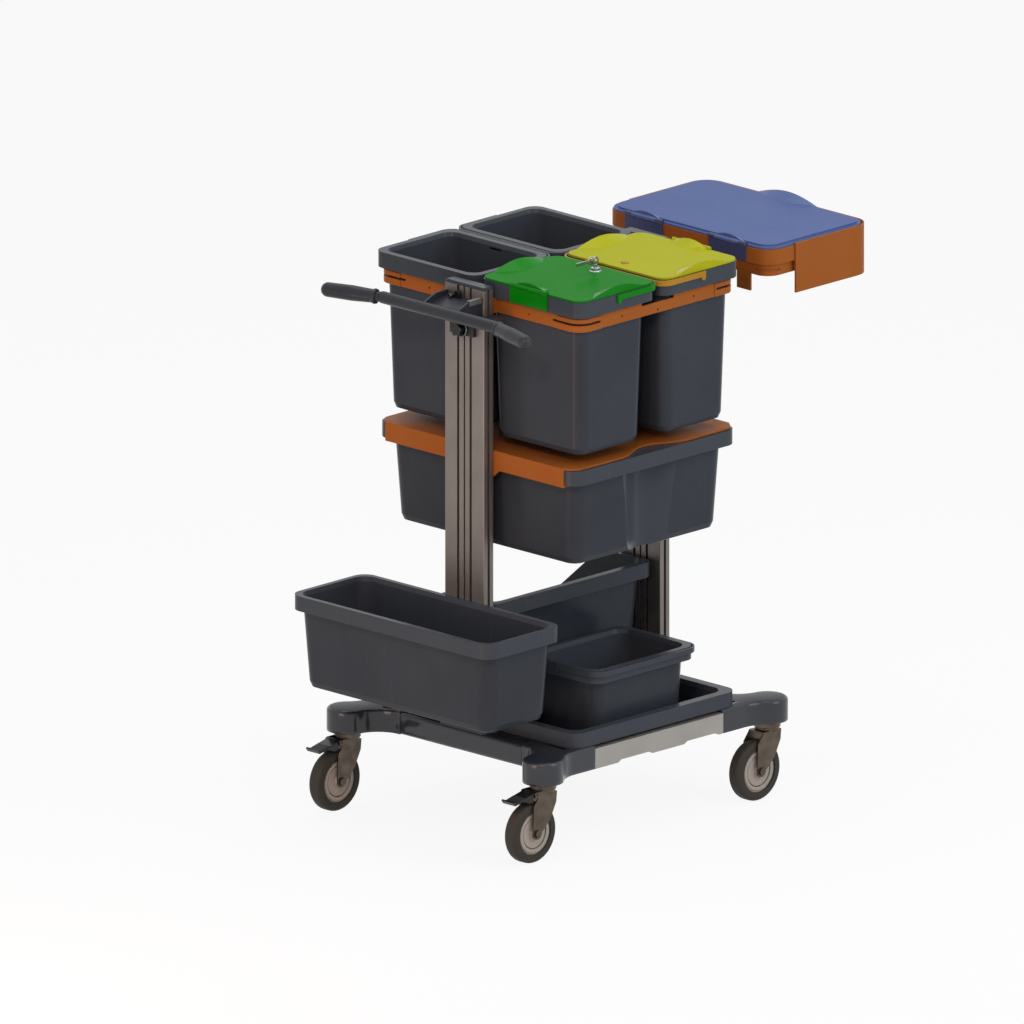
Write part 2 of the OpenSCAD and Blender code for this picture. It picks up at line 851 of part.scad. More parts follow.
// Deep bin between the posts, open towards the left side of the cart, with a flange along its sloping mouth
module side_bin() {
    h = side_top - tray_floor - fit;
    run = side_y - mouth_start + over;
    fall = run * tan(mouth_slope);
    band = wall / cos(mouth_slope);
    inner_x = side_x - 2 * side_ledge - 2 * wall;
    inner_y = side_y - 2 * side_ledge - 2 * wall;
    color(graphite)
        translate([0, side_y / 2 - side_back, side_top])
            difference() {
                union() {
                    tub(side_x, side_y, h, rim_h, side_ledge, side_draft, tub_r);
                    difference() {
                        intersection() {
                            translate([0, 0, -h])
                                linear_extrude(h)
                                    rounded_rect(side_x, side_y, tub_r);
                            across_bin([
                                [mouth_start - rim_h, rim_h], [side_y + over, rim_h],
                                [side_y + over, -fall - band],
                                [mouth_start - rim_h, rim_h * tan(mouth_slope) - band]
                            ]);
                        }
                        translate([0, 0, skin])
                            drafted(inner_x, inner_y, h - wall + skin, side_draft, tub_r - wall, foot_r);
                    }
                }
                across_bin([
                    [mouth_start, rim_h], [mouth_start, 0], [side_y + over, -fall], [side_y + over, rim_h]
                ]);
            }
}

// Profile in the bin's side view, from its back face, drawn out across its whole length
module across_bin(points) {
    translate([-side_x / 2 - over, -side_y / 2, 0])
        rotate([90, 0, 90])
            linear_extrude(side_x + 2 * over)
                polygon(points);
}

module drawer() {
    color(graphite)
        translate([0, 0, drawer_top])
            tub(tub_x, tub_y, drawer_h, rim_h, ledge, draft, tub_r, grip_d);
}

// Shelf plate with down-turned ends and the runners that carry the drawer
module drawer_shelf() {
    shelf_y = tub_y - 2 * tub_r;
    plate_y = tub_y - 12;
    side_t = tub_gap - fit;
    color(orange)
        union() {
            translate([0, 0, shelf_z])
                linear_extrude(shelf_t)
                    difference() {
                        union() {
                            rounded_rect(tub_x, plate_y, tub_r);
                            square([post_gap, shelf_y], center = true);
                        }
                        for (s = [0, 1])
                            mirror([0, s])
                                translate([0, -plate_y / 2])
                                    recess(grip_w, grip_d, over);
                    }
            for (s = [0, 1])
                mirror([s, 0, 0]) {
                    translate([post_in - side_t, -shelf_y / 2, runner_z - shelf_t])
                        cube([side_t, shelf_y, shelf_z - runner_z + 2 * shelf_t]);
                    translate([post_in - runner_w, -shelf_y / 2, runner_z - shelf_t])
                        cube([runner_w, shelf_y, shelf_t]);
                    translate([post_in - side_t, 0, runner_z])
                        rotate([90, 0, 90])
                            linear_extrude(side_t)
                                polygon([
                                    [-tab_w / 2, 0], [-post_w / 2, -tab_h - shelf_t],
                                    [post_w / 2, -tab_h - shelf_t], [tab_w / 2, 0]
                                ]);
                }
        }
}

module small_bucket() {
    color(graphite)
        translate([small_mid_x, small_mid_y, small_top])
            difference() {
                tub(small_x, small_y, small_h, small_rim, small_ledge, draft * 0.7, tub_r);
                for (s = [-1, 1])
                    translate([s * small_x / 2, 0, -bail_drop])
                        rotate([0, 90, 0])
                            cylinder(r = bail_pin_r + pin_fit, h = 4 * wall, center = true);
            }
}

// Carrying bow, modelled flat around the +x half of a rim; pins point inwards
module bow(x, y, r) {
    eye = bail_h / 2;
    union() {
        translate([0, 0, bail_rise - bail_h / 2])
            linear_extrude(bail_h)
                difference() {
                    rounded_rect(2 * x + 2 * bail_t, 2 * y + 2 * bail_t, r + bail_t);
                    rounded_rect(2 * x, 2 * y, r);
                    translate([-x - 2 * bail_t, -y - 2 * bail_t])
                        square([x + 2 * bail_t, 2 * y + 4 * bail_t]);
                }
        for (s = [-1, 1]) {
            translate([0, s * (y + bail_t / 2) + bail_t / 2, 0])
                rotate([90, 0, 0])
                    linear_extrude(bail_t)
                        union() {
                            circle(eye);
                            translate([-eye, 0])
                                square([2 * eye, bail_rise + bail_h / 2]);
                        }
            translate([0, s * (y + bail_t / 2 - wall / 2), 0])
                rotate([90, 0, 0])
                    cylinder(r = bail_pin_r, h = bail_t + wall, center = true);
        }
    }
}

module small_bail() {
    color(graphite)
        translate([small_mid_x, small_mid_y, small_top - bail_drop])
            rotate([0, 0, -90])
                bow(small_y / 2 + bail_swing, small_x / 2 + fit, tub_r);
}

// Places a bucket's parts; the lid hinges face the posts and the bows face each other
module at_bucket(sx, sy) {
    translate([sx * pitch_x / 2, sy * pitch_y / 2, 0])
        mirror([sx > 0 ? 1 : 0, 0, 0])
            children();
}

// Bucket with a narrow slot in the wall behind its bow
module bucket() {
    eye_l = 31;
    eye_h = 5;
    color(graphite)
        translate([0, 0, bucket_top])
            difference() {
                tub(bucket_x, bucket_y, bucket_h, bucket_rim, bucket_ledge, bucket_draft, bucket_r);
                for (s = [-1, 1])
                    translate([0, s * bucket_y / 2, -bail_drop])
                        rotate([90, 0, 0])
                            cylinder(r = bail_pin_r + pin_fit, h = 4 * wall, center = true);
                translate([bucket_x / 2 - bucket_ledge - wall / 2, 0, -bail_drop])
                    cube([3 * wall, eye_l, eye_h], center = true);
            }
}

module bail(colour) {
    color(colour)
        translate([0, 0, bail_z])
            bow(bail_in_x, bail_in_y, bucket_r);
}

// Raised grip on the +y edge of a lid: a cone that stands beyond the edge, cut off along it
module edge_grip(half, rise, depth) {
    reach = (half * half - depth * depth) / (2 * depth);
    foot = reach + depth;
    slope = rise / depth;
    intersection() {
        translate([0, reach, -over])
            cylinder(r1 = foot + over / slope, r2 = 0, h = foot * slope + over);
        translate([-2 * half, -2 * depth, -over])
            cube([4 * half, 2 * depth, 2 * rise + over]);
    }
}

// Lid with a locating ring, two raised side grips and a hinge barrel along its post side
module bucket_lid(colour) {
    inset = 1.5;
    lid_x = bucket_x - 2 * inset;
    lid_y = bucket_y - 2 * inset;
    ring_x = bucket_x - 2 * bucket_ledge - 2 * wall - 6;
    ring_y = bucket_y - 2 * bucket_ledge - 2 * wall - 6;
    color(colour)
        difference() {
            union() {
                translate([0, 0, lid_z])
                    linear_extrude(lid_t)
                        rounded_rect(lid_x, lid_y, bucket_r);
                translate([0, 0, lid_z - ring_d])
                    linear_extrude(ring_d + over)
                        difference() {
                            rounded_rect(ring_x, ring_y, bucket_r - 2 * wall);
                            rounded_rect(ring_x - 2 * wall, ring_y - 2 * wall, bucket_r - 3 * wall);
                        }
                for (s = [0, 1])
                    mirror([0, s, 0])
                        translate([0, lid_y / 2, lid_z + lid_t])
                            edge_grip(grip_half, grip_h, grip_y);
                translate([-lid_x / 2, 0, lid_z + lid_t])
                    rotate([0, 0, 90])
                        edge_grip(clip_w / 2, knuckle_h, knuckle_y);
            }
            ear_room(hinge_x, hinge_z);
            translate([bucket_x / 2 - lock_in, 0, lid_z - over])
                cylinder(r = lock_r - 2 + pin_fit, h = lid_t + 2 * over);
        }
    color(colour)
        lid_barrel(hinge_x, hinge_z, lid_z, 32);
}

// Barrel with pin ends and the web that joins it to a lid's plate
module lid_barrel(axis_dx, axis_z, plate_z, web) {
    barrel_l = clip_w - 2 * ear_l - 2;
    translate([axis_dx, 0, axis_z])
        union() {
            rotate([90, 0, 0])
                cylinder(r = barrel_r, h = barrel_l, center = true);
            rotate([90, 0, 0])
                cylinder(r = hinge_pin_r, h = clip_w - 2, center = true);
            translate([0, -barrel_l / 2, 0])
                rotate([90, 0, 180])
                    linear_extrude(barrel_l)
                        polygon([
                            [0, barrel_r], [-web, plate_z + lid_t - axis_z - over],
                            [-8, plate_z - axis_z + 1], [0, -barrel_r]
                        ]);
        }
}

// Room in a lid for the ears of a hinge clip
module ear_room(axis_dx, axis_z) {
    for (s = [-1, 1])
        translate([axis_dx, s * (clip_w - ear_l) / 2, axis_z])
            rotate([90, 0, 0])
                cylinder(r = barrel_r + 2 * fit, h = ear_l + 2 * fit, center = true);
}

// Clip on the rim that carries a lid's hinge pin in two ears
module hinge_clip(axis_dx, axis_z, face_x, plate_z) {
    difference() {
        union() {
            translate([face_x - clip_t, -clip_w / 2, plate_z])
                cube([clip_t, clip_w, axis_z - plate_z]);
            for (s = [-1, 1])
                translate([axis_dx, s * (clip_w - ear_l) / 2, axis_z])
                    rotate([90, 0, 0])
                        cylinder(r = barrel_r, h = ear_l, center = true);
        }
        translate([axis_dx, 0, axis_z])
            rotate([90, 0, 0])
                cylinder(r = hinge_pin_r + pin_fit, h = clip_w + 2 * over, center = true);
        translate([axis_dx, 0, axis_z])
            rotate([90, 0, 0])
                cylinder(r = barrel_r + 2 * fit, h = clip_w - 2 * ear_l, center = true);
    }
}

module bucket_hinge(colour) {
    color(colour)
        hinge_clip(hinge_x, hinge_z, -bucket_x / 2, bucket_top - bucket_rim + clip_short);
}

module lid_lock() {
    color("#8f9296")
        at_bucket(-1, -1)
            translate([bucket_x / 2 - lock_in, 0, lid_z - ring_d])
                difference() {
                    union() {
                        cylinder(r = lock_r - 2, h = ring_d + lid_t + lock_h);
                        translate([0, 0, ring_d + lid_t])
                            cylinder(r = lock_r, h = lock_h);
                    }
                    translate([0, 0, lid_t])
                        cylinder(r = 3.5 + pin_fit, h = ring_d + lock_h + over);
                }
}

// Key in the lock with a spare one against its bow, pointing to the handle
module lock_key() {
    shank = 3.5;
    bow_r = 9;
    eye_r = bow_r * 0.42;
    rise = 15;
    blade = 34;
    plate = 2.5;
    base = lid_z + lid_t + lock_h;
    color("#9a9da1")
        at_bucket(-1, -1)
            translate([bucket_x / 2 - lock_in, 0, base])
                union() {
                    translate([0, 0, -lock_h])
                        cylinder(r = shank, h = lock_h + rise / 2);
                    translate([0, plate / 2, rise])
                        rotate([90, 0, 0])
                            linear_extrude(plate)
                                difference() {
                                    union() {
                                        circle(bow_r);
                                        translate([-shank, -rise + 2])
                                            square([2 * shank, rise - 2]);
                                    }
                                    translate([0, bow_r / 3])
                                        circle(eye_r);
                                }
                    translate([-bow_r, plate * 1.4, rise])
                        rotate([90, 0, 0])
                            linear_extrude(plate)
                                difference() {
                                    union() {
                                        circle(bow_r);
                                        translate([-bow_r - blade, -shank])
                                            square([blade + bow_r, 2 * shank]);
                                    }
                                    translate([bow_r, bow_r / 3])
                                        circle(eye_r);
                                }
                }
}

module lid_plug() {
    color("#d8b400")
        at_bucket(1, -1)
            translate([bucket_x / 2 - lock_in, 0, lid_z])
                union() {
                    cylinder(r = lock_r - 2, h = lid_t + over);
                    translate([0, 0, lid_t])
                        cylinder(r1 = lock_r, r2 = lock_r - 2, h = 2.5);
                }
}

// Carrier with four openings: its band rises into the rims, and its corners stand proud below them
module bucket_frame() {
    open_x = bucket_x - 2 * bucket_ledge + 2 * band_room - 1;
    open_y = bucket_y - 2 * bucket_ledge + 2 * band_room - 1;
    band_h = frame_h + bucket_rim - wall;
    gap_x = 46;
    gap_y = 54;
    dip = 9;
    pad = 100;
    pad_x = post_in - frame_x / 2 + frame_t;
    color(orange)
        translate([0, 0, frame_top - frame_h])
            difference() {
                union() {
                    translate([0, 0, frame_h - frame_t])
                        linear_extrude(frame_t)
                            rounded_rect(frame_x, frame_y, tub_r);
                    linear_extrude(band_h)
                        carrier_band(0);
                    linear_extrude(frame_h - frame_t)
                        intersection() {
                            carrier_band(corner_t);
                            for (c = CORNERS)
                                translate([c[1] * frame_x / 2, c[2] * frame_y / 2])
                                    square(2 * corner_l, center = true);
                        }
                    for (s = [-1, 1])
                        translate([s * (post_in - pad_x / 2), 0, frame_h / 2])
                            cube([pad_x, pad, frame_h], center = true);
                }
                for (c = CORNERS)
                    translate([c[1] * pitch_x / 2, c[2] * pitch_y / 2, frame_h - frame_t - over])
                        linear_extrude(frame_t + 2 * over)
                            rounded_rect(open_x, open_y, bucket_r);
                for (s = [-1, 1]) {
                    translate([0, s * (frame_y / 2 - frame_t - gap_y / 2), frame_h])
                        cube([2 * gap_x, gap_y, 4 * frame_t], center = true);
                    translate([0, s * frame_y / 2, band_h])
                        cube([2 * gap_x, 4 * frame_t, 2 * (band_h - frame_h + dip)], center = true);
                    translate([s * frame_x / 2, 0, band_h])
                        cube([4 * frame_t, 2 * gap_x, 2 * (band_h - frame_h)], center = true);
                }
                carrier_holes();
            }
}

// Outline ring of the carrier, drawn out by proud
module carrier_band(proud) {
    difference() {
        rounded_rect(frame_x + 2 * proud, frame_y + 2 * proud, tub_r + proud);
        rounded_rect(frame_x - 2 * frame_t, frame_y - 2 * frame_t, tub_r - frame_t);
    }
}

// Slits at the carrier's corners and small holes along its band
module carrier_holes() {
    slit_z = frame_h * 0.5;
    hole_r = 2.5;
    hole_x = 103;
    hole_y = 140;
    for (c = CORNERS) {
        translate([c[1] * frame_x / 2, c[2] * frame_y / 2, slit_z])
            cube([2 * slit_x, 2 * slit_y, slit_h], center = true);
        translate([c[1] * frame_x / 2, c[2] * hole_y, frame_h * 0.43])
            rotate([0, 90, 0])
                cylinder(r = hole_r, h = 4 * frame_t, center = true);
        translate([c[1] * hole_x, c[2] * frame_y / 2, frame_h * 0.43])
            rotate([90, 0, 0])
                cylinder(r = hole_r, h = 4 * frame_t, center = true);
    }
    for (s = [-1, 1])
        translate([0, s * frame_y / 2, frame_h * 0.2])
            rotate([90, 0, 0])
                cylinder(r = hole_r, h = 4 * frame_t, center = true);
}

// Moulding that slides on the post: two side plates rise from the bar's saddle, closed above by a web
module handle_bracket() {
    low = handle_z - bracket_h;
    half = bracket_bar_w / 2;
    pad_t = bracket_t + 3;
    tall = bracket_h + plate_rise + clamp_h;
    front = -post_out - fit;
    web_front = handle_x + handle_r * 0.6;
    color(graphite)
        difference() {
            union() {
                translate([0, half, 0])
                    rotate([90, 0, 0])
                        linear_extrude(2 * half)
                            polygon([
                                [web_front, handle_z + 2], [front, handle_z + plate_rise - 8],
                                [front, low], [front - pad_t, low],
                                [front - pad_t, handle_z + plate_rise - 8 - bracket_t],
                                [web_front, handle_z + 2 - bracket_t]
                            ]);
                for (y = [-half, half - bracket_t])
                    translate([0, y + bracket_t, 0])
                        rotate([90, 0, 0])
                            linear_extrude(bracket_t)
                                side_plate(front, low);
                translate([handle_x, -half, handle_z - handle_r + 1])
                    cube([handle_r + bracket_t, 2 * half, 1.6 * handle_r]);
                translate([0, 0, low])
                    linear_extrude(wing_h)
                        bracket_plan();
                translate([front - pad_t, -clamp_w / 2, low - clamp_h])
                    cube([pad_t, clamp_w, clamp_h + over]);
            }
            translate([-post_out - fit, -post_w / 2 - fit, low - clamp_h - over])
                cube([post_t + 2 * fit + over, post_w + 2 * fit, tall + 2 * over]);
            translate([handle_x, 0, handle_z])
                rotate([90, 0, 0])
                    cylinder(r = handle_r + pin_fit, h = bracket_post_w, center = true);
            translate([-post_out - 2 * pad_t, 0, low - knob_drop])
                rotate([0, 90, 0])
                    cylinder(r = knob_pin_r + pin_fit, h = 3 * pad_t);
        }
}

// One side plate of the bracket, seen from the side: its top edge bows up from the bar to the post
module side_plate(front, low) {
    run = front - handle_x;
    top = handle_z + plate_rise;
    polygon([
        [handle_x, handle_z + handle_r * 0.7], [handle_x + run * 0.2, handle_z + plate_rise * 0.6],
        [handle_x + run * 0.4, handle_z + plate_rise * 0.86], [handle_x + run * 0.55, top], [front, top],
        [front, low], [handle_x + run * 0.45, low], [handle_x, handle_z - handle_r + 1]
    ]);
}

// Foot of the bracket, seen from above: it reaches round both sides of the post
module bracket_plan() {
    reach = 3 * wing_t;
    for (m = [0, 1])
        mirror([0, m])
            polygon([
                [-post_out - reach, 0], [-post_out - reach, bracket_bar_w / 2],
                [-post_out - wing_t, bracket_post_w / 2 - wing_t],
                [-post_out, bracket_post_w / 2], [wing_x - wing_t / 2, bracket_post_w / 2],
                [wing_x, bracket_post_w / 2 - wing_t / 2], [wing_x, 0]
            ]);
}

// Runs along one swept grip: s = 1 to the left, -1 to the right
module along_grip(s) {
    translate([handle_x, s * handle_half, handle_z])
        rotate([s * -90, 0, s * grip_sweep])
            children();
}

module handle_bar() {
    core_r = handle_r - 2;
    color("#3a3d42")
        union() {
            translate([handle_x, 0, handle_z])
                rotate([90, 0, 0])
                    cylinder(r = handle_r, h = 2 * handle_half, center = true);
            for (s = [-1, 1]) {
                translate([handle_x, s * handle_half, handle_z])
                    sphere(handle_r);
                along_grip(s)
                    cylinder(r = core_r, h = grip_len - 10);
            }
        }
}

// Moulded grips with a collar and a domed end
module handle_grips() {
    core_r = handle_r - 2;
    start = handle_r + 2;
    color("#25272b")
        for (s = [-1, 1])
            along_grip(s)
                difference() {
                    rotate_extrude()
                        union() {
                            polygon([
                                [0, start], [grip_r - 1, start], [grip_r, start + 4],
                                [grip_r - 2, start + 10], [grip_r, grip_len * 0.5],
                                [grip_r - 1, grip_len - grip_r], [0, grip_len - grip_r]
                            ]);
                            translate([0, grip_len - grip_r])
                                intersection() {
                                    circle(grip_r - 1);
                                    translate([0, -over])
                                        square(2 * grip_r);
                                }
                        }
                    translate([0, 0, start - over])
                        cylinder(r = core_r + pin_fit, h = grip_len - 10 - start + over + fit);
                }
}

// Star knob that clamps the bracket to the post
module handle_knob() {
    lobes = 5;
    face = -post_out - bracket_t - 3 - 2 * fit;
    color("#1d1e20")
        translate([face, 0, handle_z - bracket_h - knob_drop])
            rotate([0, -90, 0])
                union() {
                    linear_extrude(16)
                        union() {
                            circle(knob_r * 0.75);
                            for (i = [0:lobes - 1])
                                rotate(i * 360 / lobes)
                                    translate([knob_r * 0.65, 0])
                                        circle(knob_r * 0.35);
                        }
                    translate([0, 0, -bracket_t - 3])
                        cylinder(r = knob_pin_r, h = bracket_t + 3 + over);
                }
}

// Arm from the rear post to the bag holder
module bag_arm() {
    drop = 84;
    z = bag_top - bag_h;
    color(orange)
        union() {
            translate([post_out, -arm_w / 2, z - drop])
                cube([arm_t, arm_w, drop]);
            translate([post_out, -arm_w / 2, z - arm_t])
                cube([bag_reach + bag_t + ring_in - fit, arm_w, arm_t]);
            for (y = [-arm_w / 2, arm_w / 2 - arm_t])
                translate([post_out, y + arm_t, z])
                    rotate([90, 0, 0])
                        linear_extrude(arm_t)
                            polygon([[0, 0], [bag_reach - over, 0], [bag_reach - over, -arm_t], [0, -drop]]);
        }
}

module bag_frame() {
    flange = ring_in + bag_t;
    color(orange)
        translate([bag_mid, 0, bag_top - bag_h])
            difference() {
                linear_extrude(bag_h)
                    rounded_rect(bag_x, bag_y, bag_r);
                translate([0, 0, -over])
                    linear_extrude(bag_h + 2 * over)
                        rounded_rect(bag_x - 2 * flange, bag_y - 2 * flange, bag_r - flange);
                translate([0, 0, bag_t])
                    linear_extrude(bag_h)
                        rounded_rect(bag_x - 2 * bag_t, bag_y - 2 * bag_t, bag_r - bag_t);
            }
}

// Ring that clamps the bag, with two hanging tabs
module bag_ring() {
    gap = arm_w + 4;
    tab = 38;
    drop = 36;
    groove_x = 34;
    groove_y = 38;
    x = bag_x - 2 * ring_in;
    y = bag_y - 2 * ring_in;
    color(orange)
        translate([bag_mid, 0, bag_top - bag_h - ring_h])
            difference() {
                union() {
                    linear_extrude(ring_h)
                        difference() {
                            rounded_rect(x, y, bag_r - ring_in);
                            rounded_rect(x - 2 * bag_t, y - 2 * bag_t, bag_r - ring_in - bag_t);
                        }
                    for (s = [-1, 1])
                        translate([-x / 2, s * (bag_y / 3) - tab / 2, -drop])
                            cube([bag_t, tab, drop + over]);
                }
                translate([-x / 2 - over, -gap / 2, -over])
                    cube([bag_t + 2 * over, gap, ring_h + 2 * over]);
                for (s = [-1, 1])
                    translate([0, 0, (ring_h - slit_h) / 2])
                        linear_extrude(slit_h)
                            intersection() {
                                difference() {
                                    rounded_rect(x + bag_t, y + bag_t, bag_r - ring_in + bag_t / 2);
                                    rounded_rect(x - bag_t, y - bag_t, bag_r - ring_in - bag_t / 2);
                                }
                                translate([-x / 2, s * y / 2])
                                    square([2 * groove_x, 2 * groove_y], center = true);
                            }
            }
}

// Cover around the far end of the bag holder
module bag_skirt() {
    color(orange)
        translate([bag_mid, 0, bag_top + skirt_up - skirt_h])
            linear_extrude(skirt_h)
                difference() {
                    rounded_rect(bag_x + 2 * bag_t, bag_y + 2 * bag_t, bag_r + bag_t);
                    rounded_rect(bag_x, bag_y, bag_r - bag_t);
                    translate([-bag_x, -bag_y])
                        square([bag_x * 1.5 + bag_t - skirt_x, 2 * bag_y]);
                }
}

module bag_hinges() {
    color("#3d4a80")
        for (s = [-1, 1])
            translate([bag_mid, s * bag_clip_y, 0])
                hinge_clip(bag_hinge_x, bag_hinge_z, -bag_x / 2, bag_top - bag_h + clip_short);
}

module bag_lid() {
    inset = 2;
    lid_x = bag_x - 2 * inset;
    lid_y = bag_y - 2 * inset;
    color("#4a58a0")
        translate([bag_mid, 0, 0])
            union() {
                difference() {
                    union() {
                        translate([0, 0, bag_lid_z])
                            linear_extrude(lid_t)
                                rounded_rect(lid_x, lid_y, bag_r);
                        translate([0, 0, bag_lid_z + lid_t - over])
                            linear_extrude(lid_t + over)
                                rounded_rect(lid_x - 16, lid_y - 16, bag_r - 8);
                        for (s = [-1, 1])
                            translate([-lid_x / 2, s * bag_clip_y, bag_lid_z + lid_t])
                                rotate([0, 0, 90])
                                    edge_grip(clip_w / 2, knuckle_h, knuckle_y);
                    }
                    for (s = [-1, 1])
                        translate([0, s * bag_clip_y, 0])
                            ear_room(bag_hinge_x, bag_hinge_z);
                }
                translate([lid_x / 2, 0, bag_lid_z + lid_t])
                    rotate([0, 0, -90])
                        edge_grip(lip_half, lip_h, grip_y);
                for (s = [-1, 1])
                    translate([0, s * bag_clip_y, 0])
                        lid_barrel(bag_hinge_x, bag_hinge_z, bag_lid_z, 40);
            }
}

quarter(-1, 1) casting();  // casting_front_left
quarter(-1, -1) casting();  // casting_front_right
quarter(1, 1) casting();  // casting_rear_left
quarter(1, -1) casting();  // casting_rear_right
at_caster(-1, 1) fork(true);  // fork_front_left
at_caster(-1, -1) fork(true);  // fork_front_right
at_caster(1, 1) fork(false);  // fork_rear_left
at_caster(1, -1) fork(false);  // fork_rear_right
at_caster(-1, 1) hub();  // hub_front_left
at_caster(-1, -1) hub();  // hub_front_right
at_caster(1, 1) hub();  // hub_rear_left
at_caster(1, -1) hub();  // hub_rear_right
at_caster(-1, 1) tyre();  // tyre_front_left
at_caster(-1, -1) tyre();  // tyre_front_right
at_caster(1, 1) tyre();  // tyre_rear_left
at_caster(1, -1) tyre();  // tyre_rear_right
at_bucket(-1, 1) bucket();  // bucket_front_left
at_bucket(-1, -1) bucket();  // bucket_front_right
at_bucket(1, 1) bucket();  // bucket_rear_left
at_bucket(1, -1) bucket();  // bucket_rear_right
at_bucket(-1, 1) bail(graphite);  // bail_front_left
at_bucket(-1, -1) bail("#159a1c");  // bail_front_right
at_bucket(1, 1) bail(graphite);  // bail_rear_left
at_bucket(1, -1) bail("#c8c800");  // bail_rear_right
side_rails();
end_bars();
base_tray();
post(-1);  // post_front
post(1);  // post_rear
post_caps();
post_feet();
caster_stems();
at_caster(-1, 1) pedal();  // pedal_left
at_caster(-1, -1) pedal();  // pedal_right
front_bin();
front_bin_hanger();
side_bin();
drawer();
drawer_shelf();
small_bucket();
small_bail();
bucket_frame();
at_bucket(-1, -1) bucket_lid("#18a51f");  // green_lid
at_bucket(-1, -1) bucket_hinge("#18a51f");  // green_hinge
lid_lock();
lock_key();
at_bucket(1, -1) bucket_lid("#c9c410");  // yellow_lid
at_bucket(1, -1) bucket_hinge("#c9c410");  // yellow_hinge
lid_plug();
handle_bracket();
handle_bar();
handle_grips();
handle_knob();
bag_arm();
bag_frame();
bag_ring();
bag_skirt();
bag_hinges();
bag_lid();
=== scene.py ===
import json
import math

import bpy
import bmesh
from mathutils import Matrix, Vector


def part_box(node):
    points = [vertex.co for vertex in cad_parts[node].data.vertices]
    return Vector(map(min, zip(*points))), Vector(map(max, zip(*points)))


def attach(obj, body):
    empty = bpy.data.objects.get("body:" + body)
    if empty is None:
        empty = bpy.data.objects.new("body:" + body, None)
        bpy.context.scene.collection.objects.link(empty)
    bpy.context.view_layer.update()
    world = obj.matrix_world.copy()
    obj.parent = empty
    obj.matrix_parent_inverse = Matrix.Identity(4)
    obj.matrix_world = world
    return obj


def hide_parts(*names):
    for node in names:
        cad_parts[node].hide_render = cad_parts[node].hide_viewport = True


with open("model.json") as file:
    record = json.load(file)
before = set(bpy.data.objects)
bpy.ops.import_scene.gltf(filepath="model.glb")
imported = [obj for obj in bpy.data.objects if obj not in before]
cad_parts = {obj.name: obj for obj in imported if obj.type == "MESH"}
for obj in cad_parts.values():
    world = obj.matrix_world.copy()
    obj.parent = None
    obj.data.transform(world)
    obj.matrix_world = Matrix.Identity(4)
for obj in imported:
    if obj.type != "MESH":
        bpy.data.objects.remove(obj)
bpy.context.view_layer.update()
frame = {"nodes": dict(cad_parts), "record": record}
NODES = frame["nodes"]
MM = 0.001
# Points closer than this, in metres, are one point.
SAME_POINT = 1e-6
UPWARD = (0, 0, 1)
# From the front post towards the push handle.
HANDLEWARD = (-1, 0, 0)
WHITE = (1, 1, 1, 1)


def linear(hex_colour):
    """An sRGB hex colour as the linear RGBA that shader sockets take."""
    parts = [int(hex_colour[i:i + 2], 16) / 255 for i in (1, 3, 5)]
    return tuple(c / 12.92 if c <= 0.04045 else ((c + 0.055) / 1.055) ** 2.4 for c in parts) + (1.0,)


def add(tree, kind, inputs=None, out=0, **props):
    """Adds a shader node with its settings and links, and gives back one of its outputs."""
    made = tree.nodes.new("ShaderNode" + kind)
    for key, value in props.items():
        setattr(made, key, value)
    for key, value in (inputs or {}).items():
        if isinstance(value, bpy.types.NodeSocket):
            tree.links.new(value, made.inputs[key])
        else:
            made.inputs[key].default_value = value
    return made.outputs[out] if len(made.outputs) else made


def empty_tree(owner):
    """The node tree of a material or world, with nothing in it."""
    owner.use_nodes = True
    owner.node_tree.nodes.clear()
    return owner.node_tree


def surface(name, build):
    """A new material: build(tree, place) gives its shader's sockets, place being metres on the object."""
    material = bpy.data.materials.new(name)
    tree = empty_tree(material)
    sockets = build(tree, add(tree, "TexCoord", out="Object"))
    add(tree, "OutputMaterial", {"Surface": add(tree, "BsdfPrincipled", sockets)})
    return material


# A colour Mix node shares its sockets' names with other kinds of data, so they go by number.
SHARE, UNDER, OVER = 0, 6, 7
COLOURS = {"out": 2, "data_type": "RGBA"}
# Noise lies mostly between 0.3 and 0.7. A mask takes its range from all of that, or leaves the low part out.
NOISE = {"From Min": 0.3, "From Max": 0.7}
HIGH_NOISE = {"From Min": 0.35, "From Max": 0.7}
# The rounded normal against the face's own, as their dot product: 0.99 is no edge, 0.82 is full edge.
EDGE_TURN = {"From Min": 0.82, "From Max": 0.99, "To Min": 1.0, "To Max": 0.0}


def soft_edges(tree, radius_mm):
    """Normal with moulded edge radii, and a mask that is 1 along those edges."""
    rounded = add(tree, "Bevel", {"Radius": radius_mm * MM}, samples=6)
    flat = add(tree, "NewGeometry", out="True Normal")
    facing = add(tree, "VectorMath", {0: rounded, 1: flat}, out="Value", operation="DOT_PRODUCT")
    return rounded, add(tree, "MapRange", {"Value": facing, **EDGE_TURN})


# Moulded plastic: the size of its flow shading, draw marks and rubbed patches. The erosion grain is 0.3 mm
# wide on the real part, and is drawn 2.4 mm wide so that it shows.
FLOW_MM = 150
DRAW_MM = 12
DRAWN_UPRIGHT = (1.0, 1.0, 0.03)
RUB_MM = 18
GRAIN_MM = 2.4
GRAIN_DEPTH_MM = 0.3
# The upward part of a wall's normal: below the first it leans under its rim, above the second it doesn't.
LEANING = {"From Min": -0.03, "From Max": -0.008}
# The upward part of a face's normal: below the first it has the sides' shine, above the second the top's.
LEVEL = {"From Min": 0.9, "From Max": 0.99}


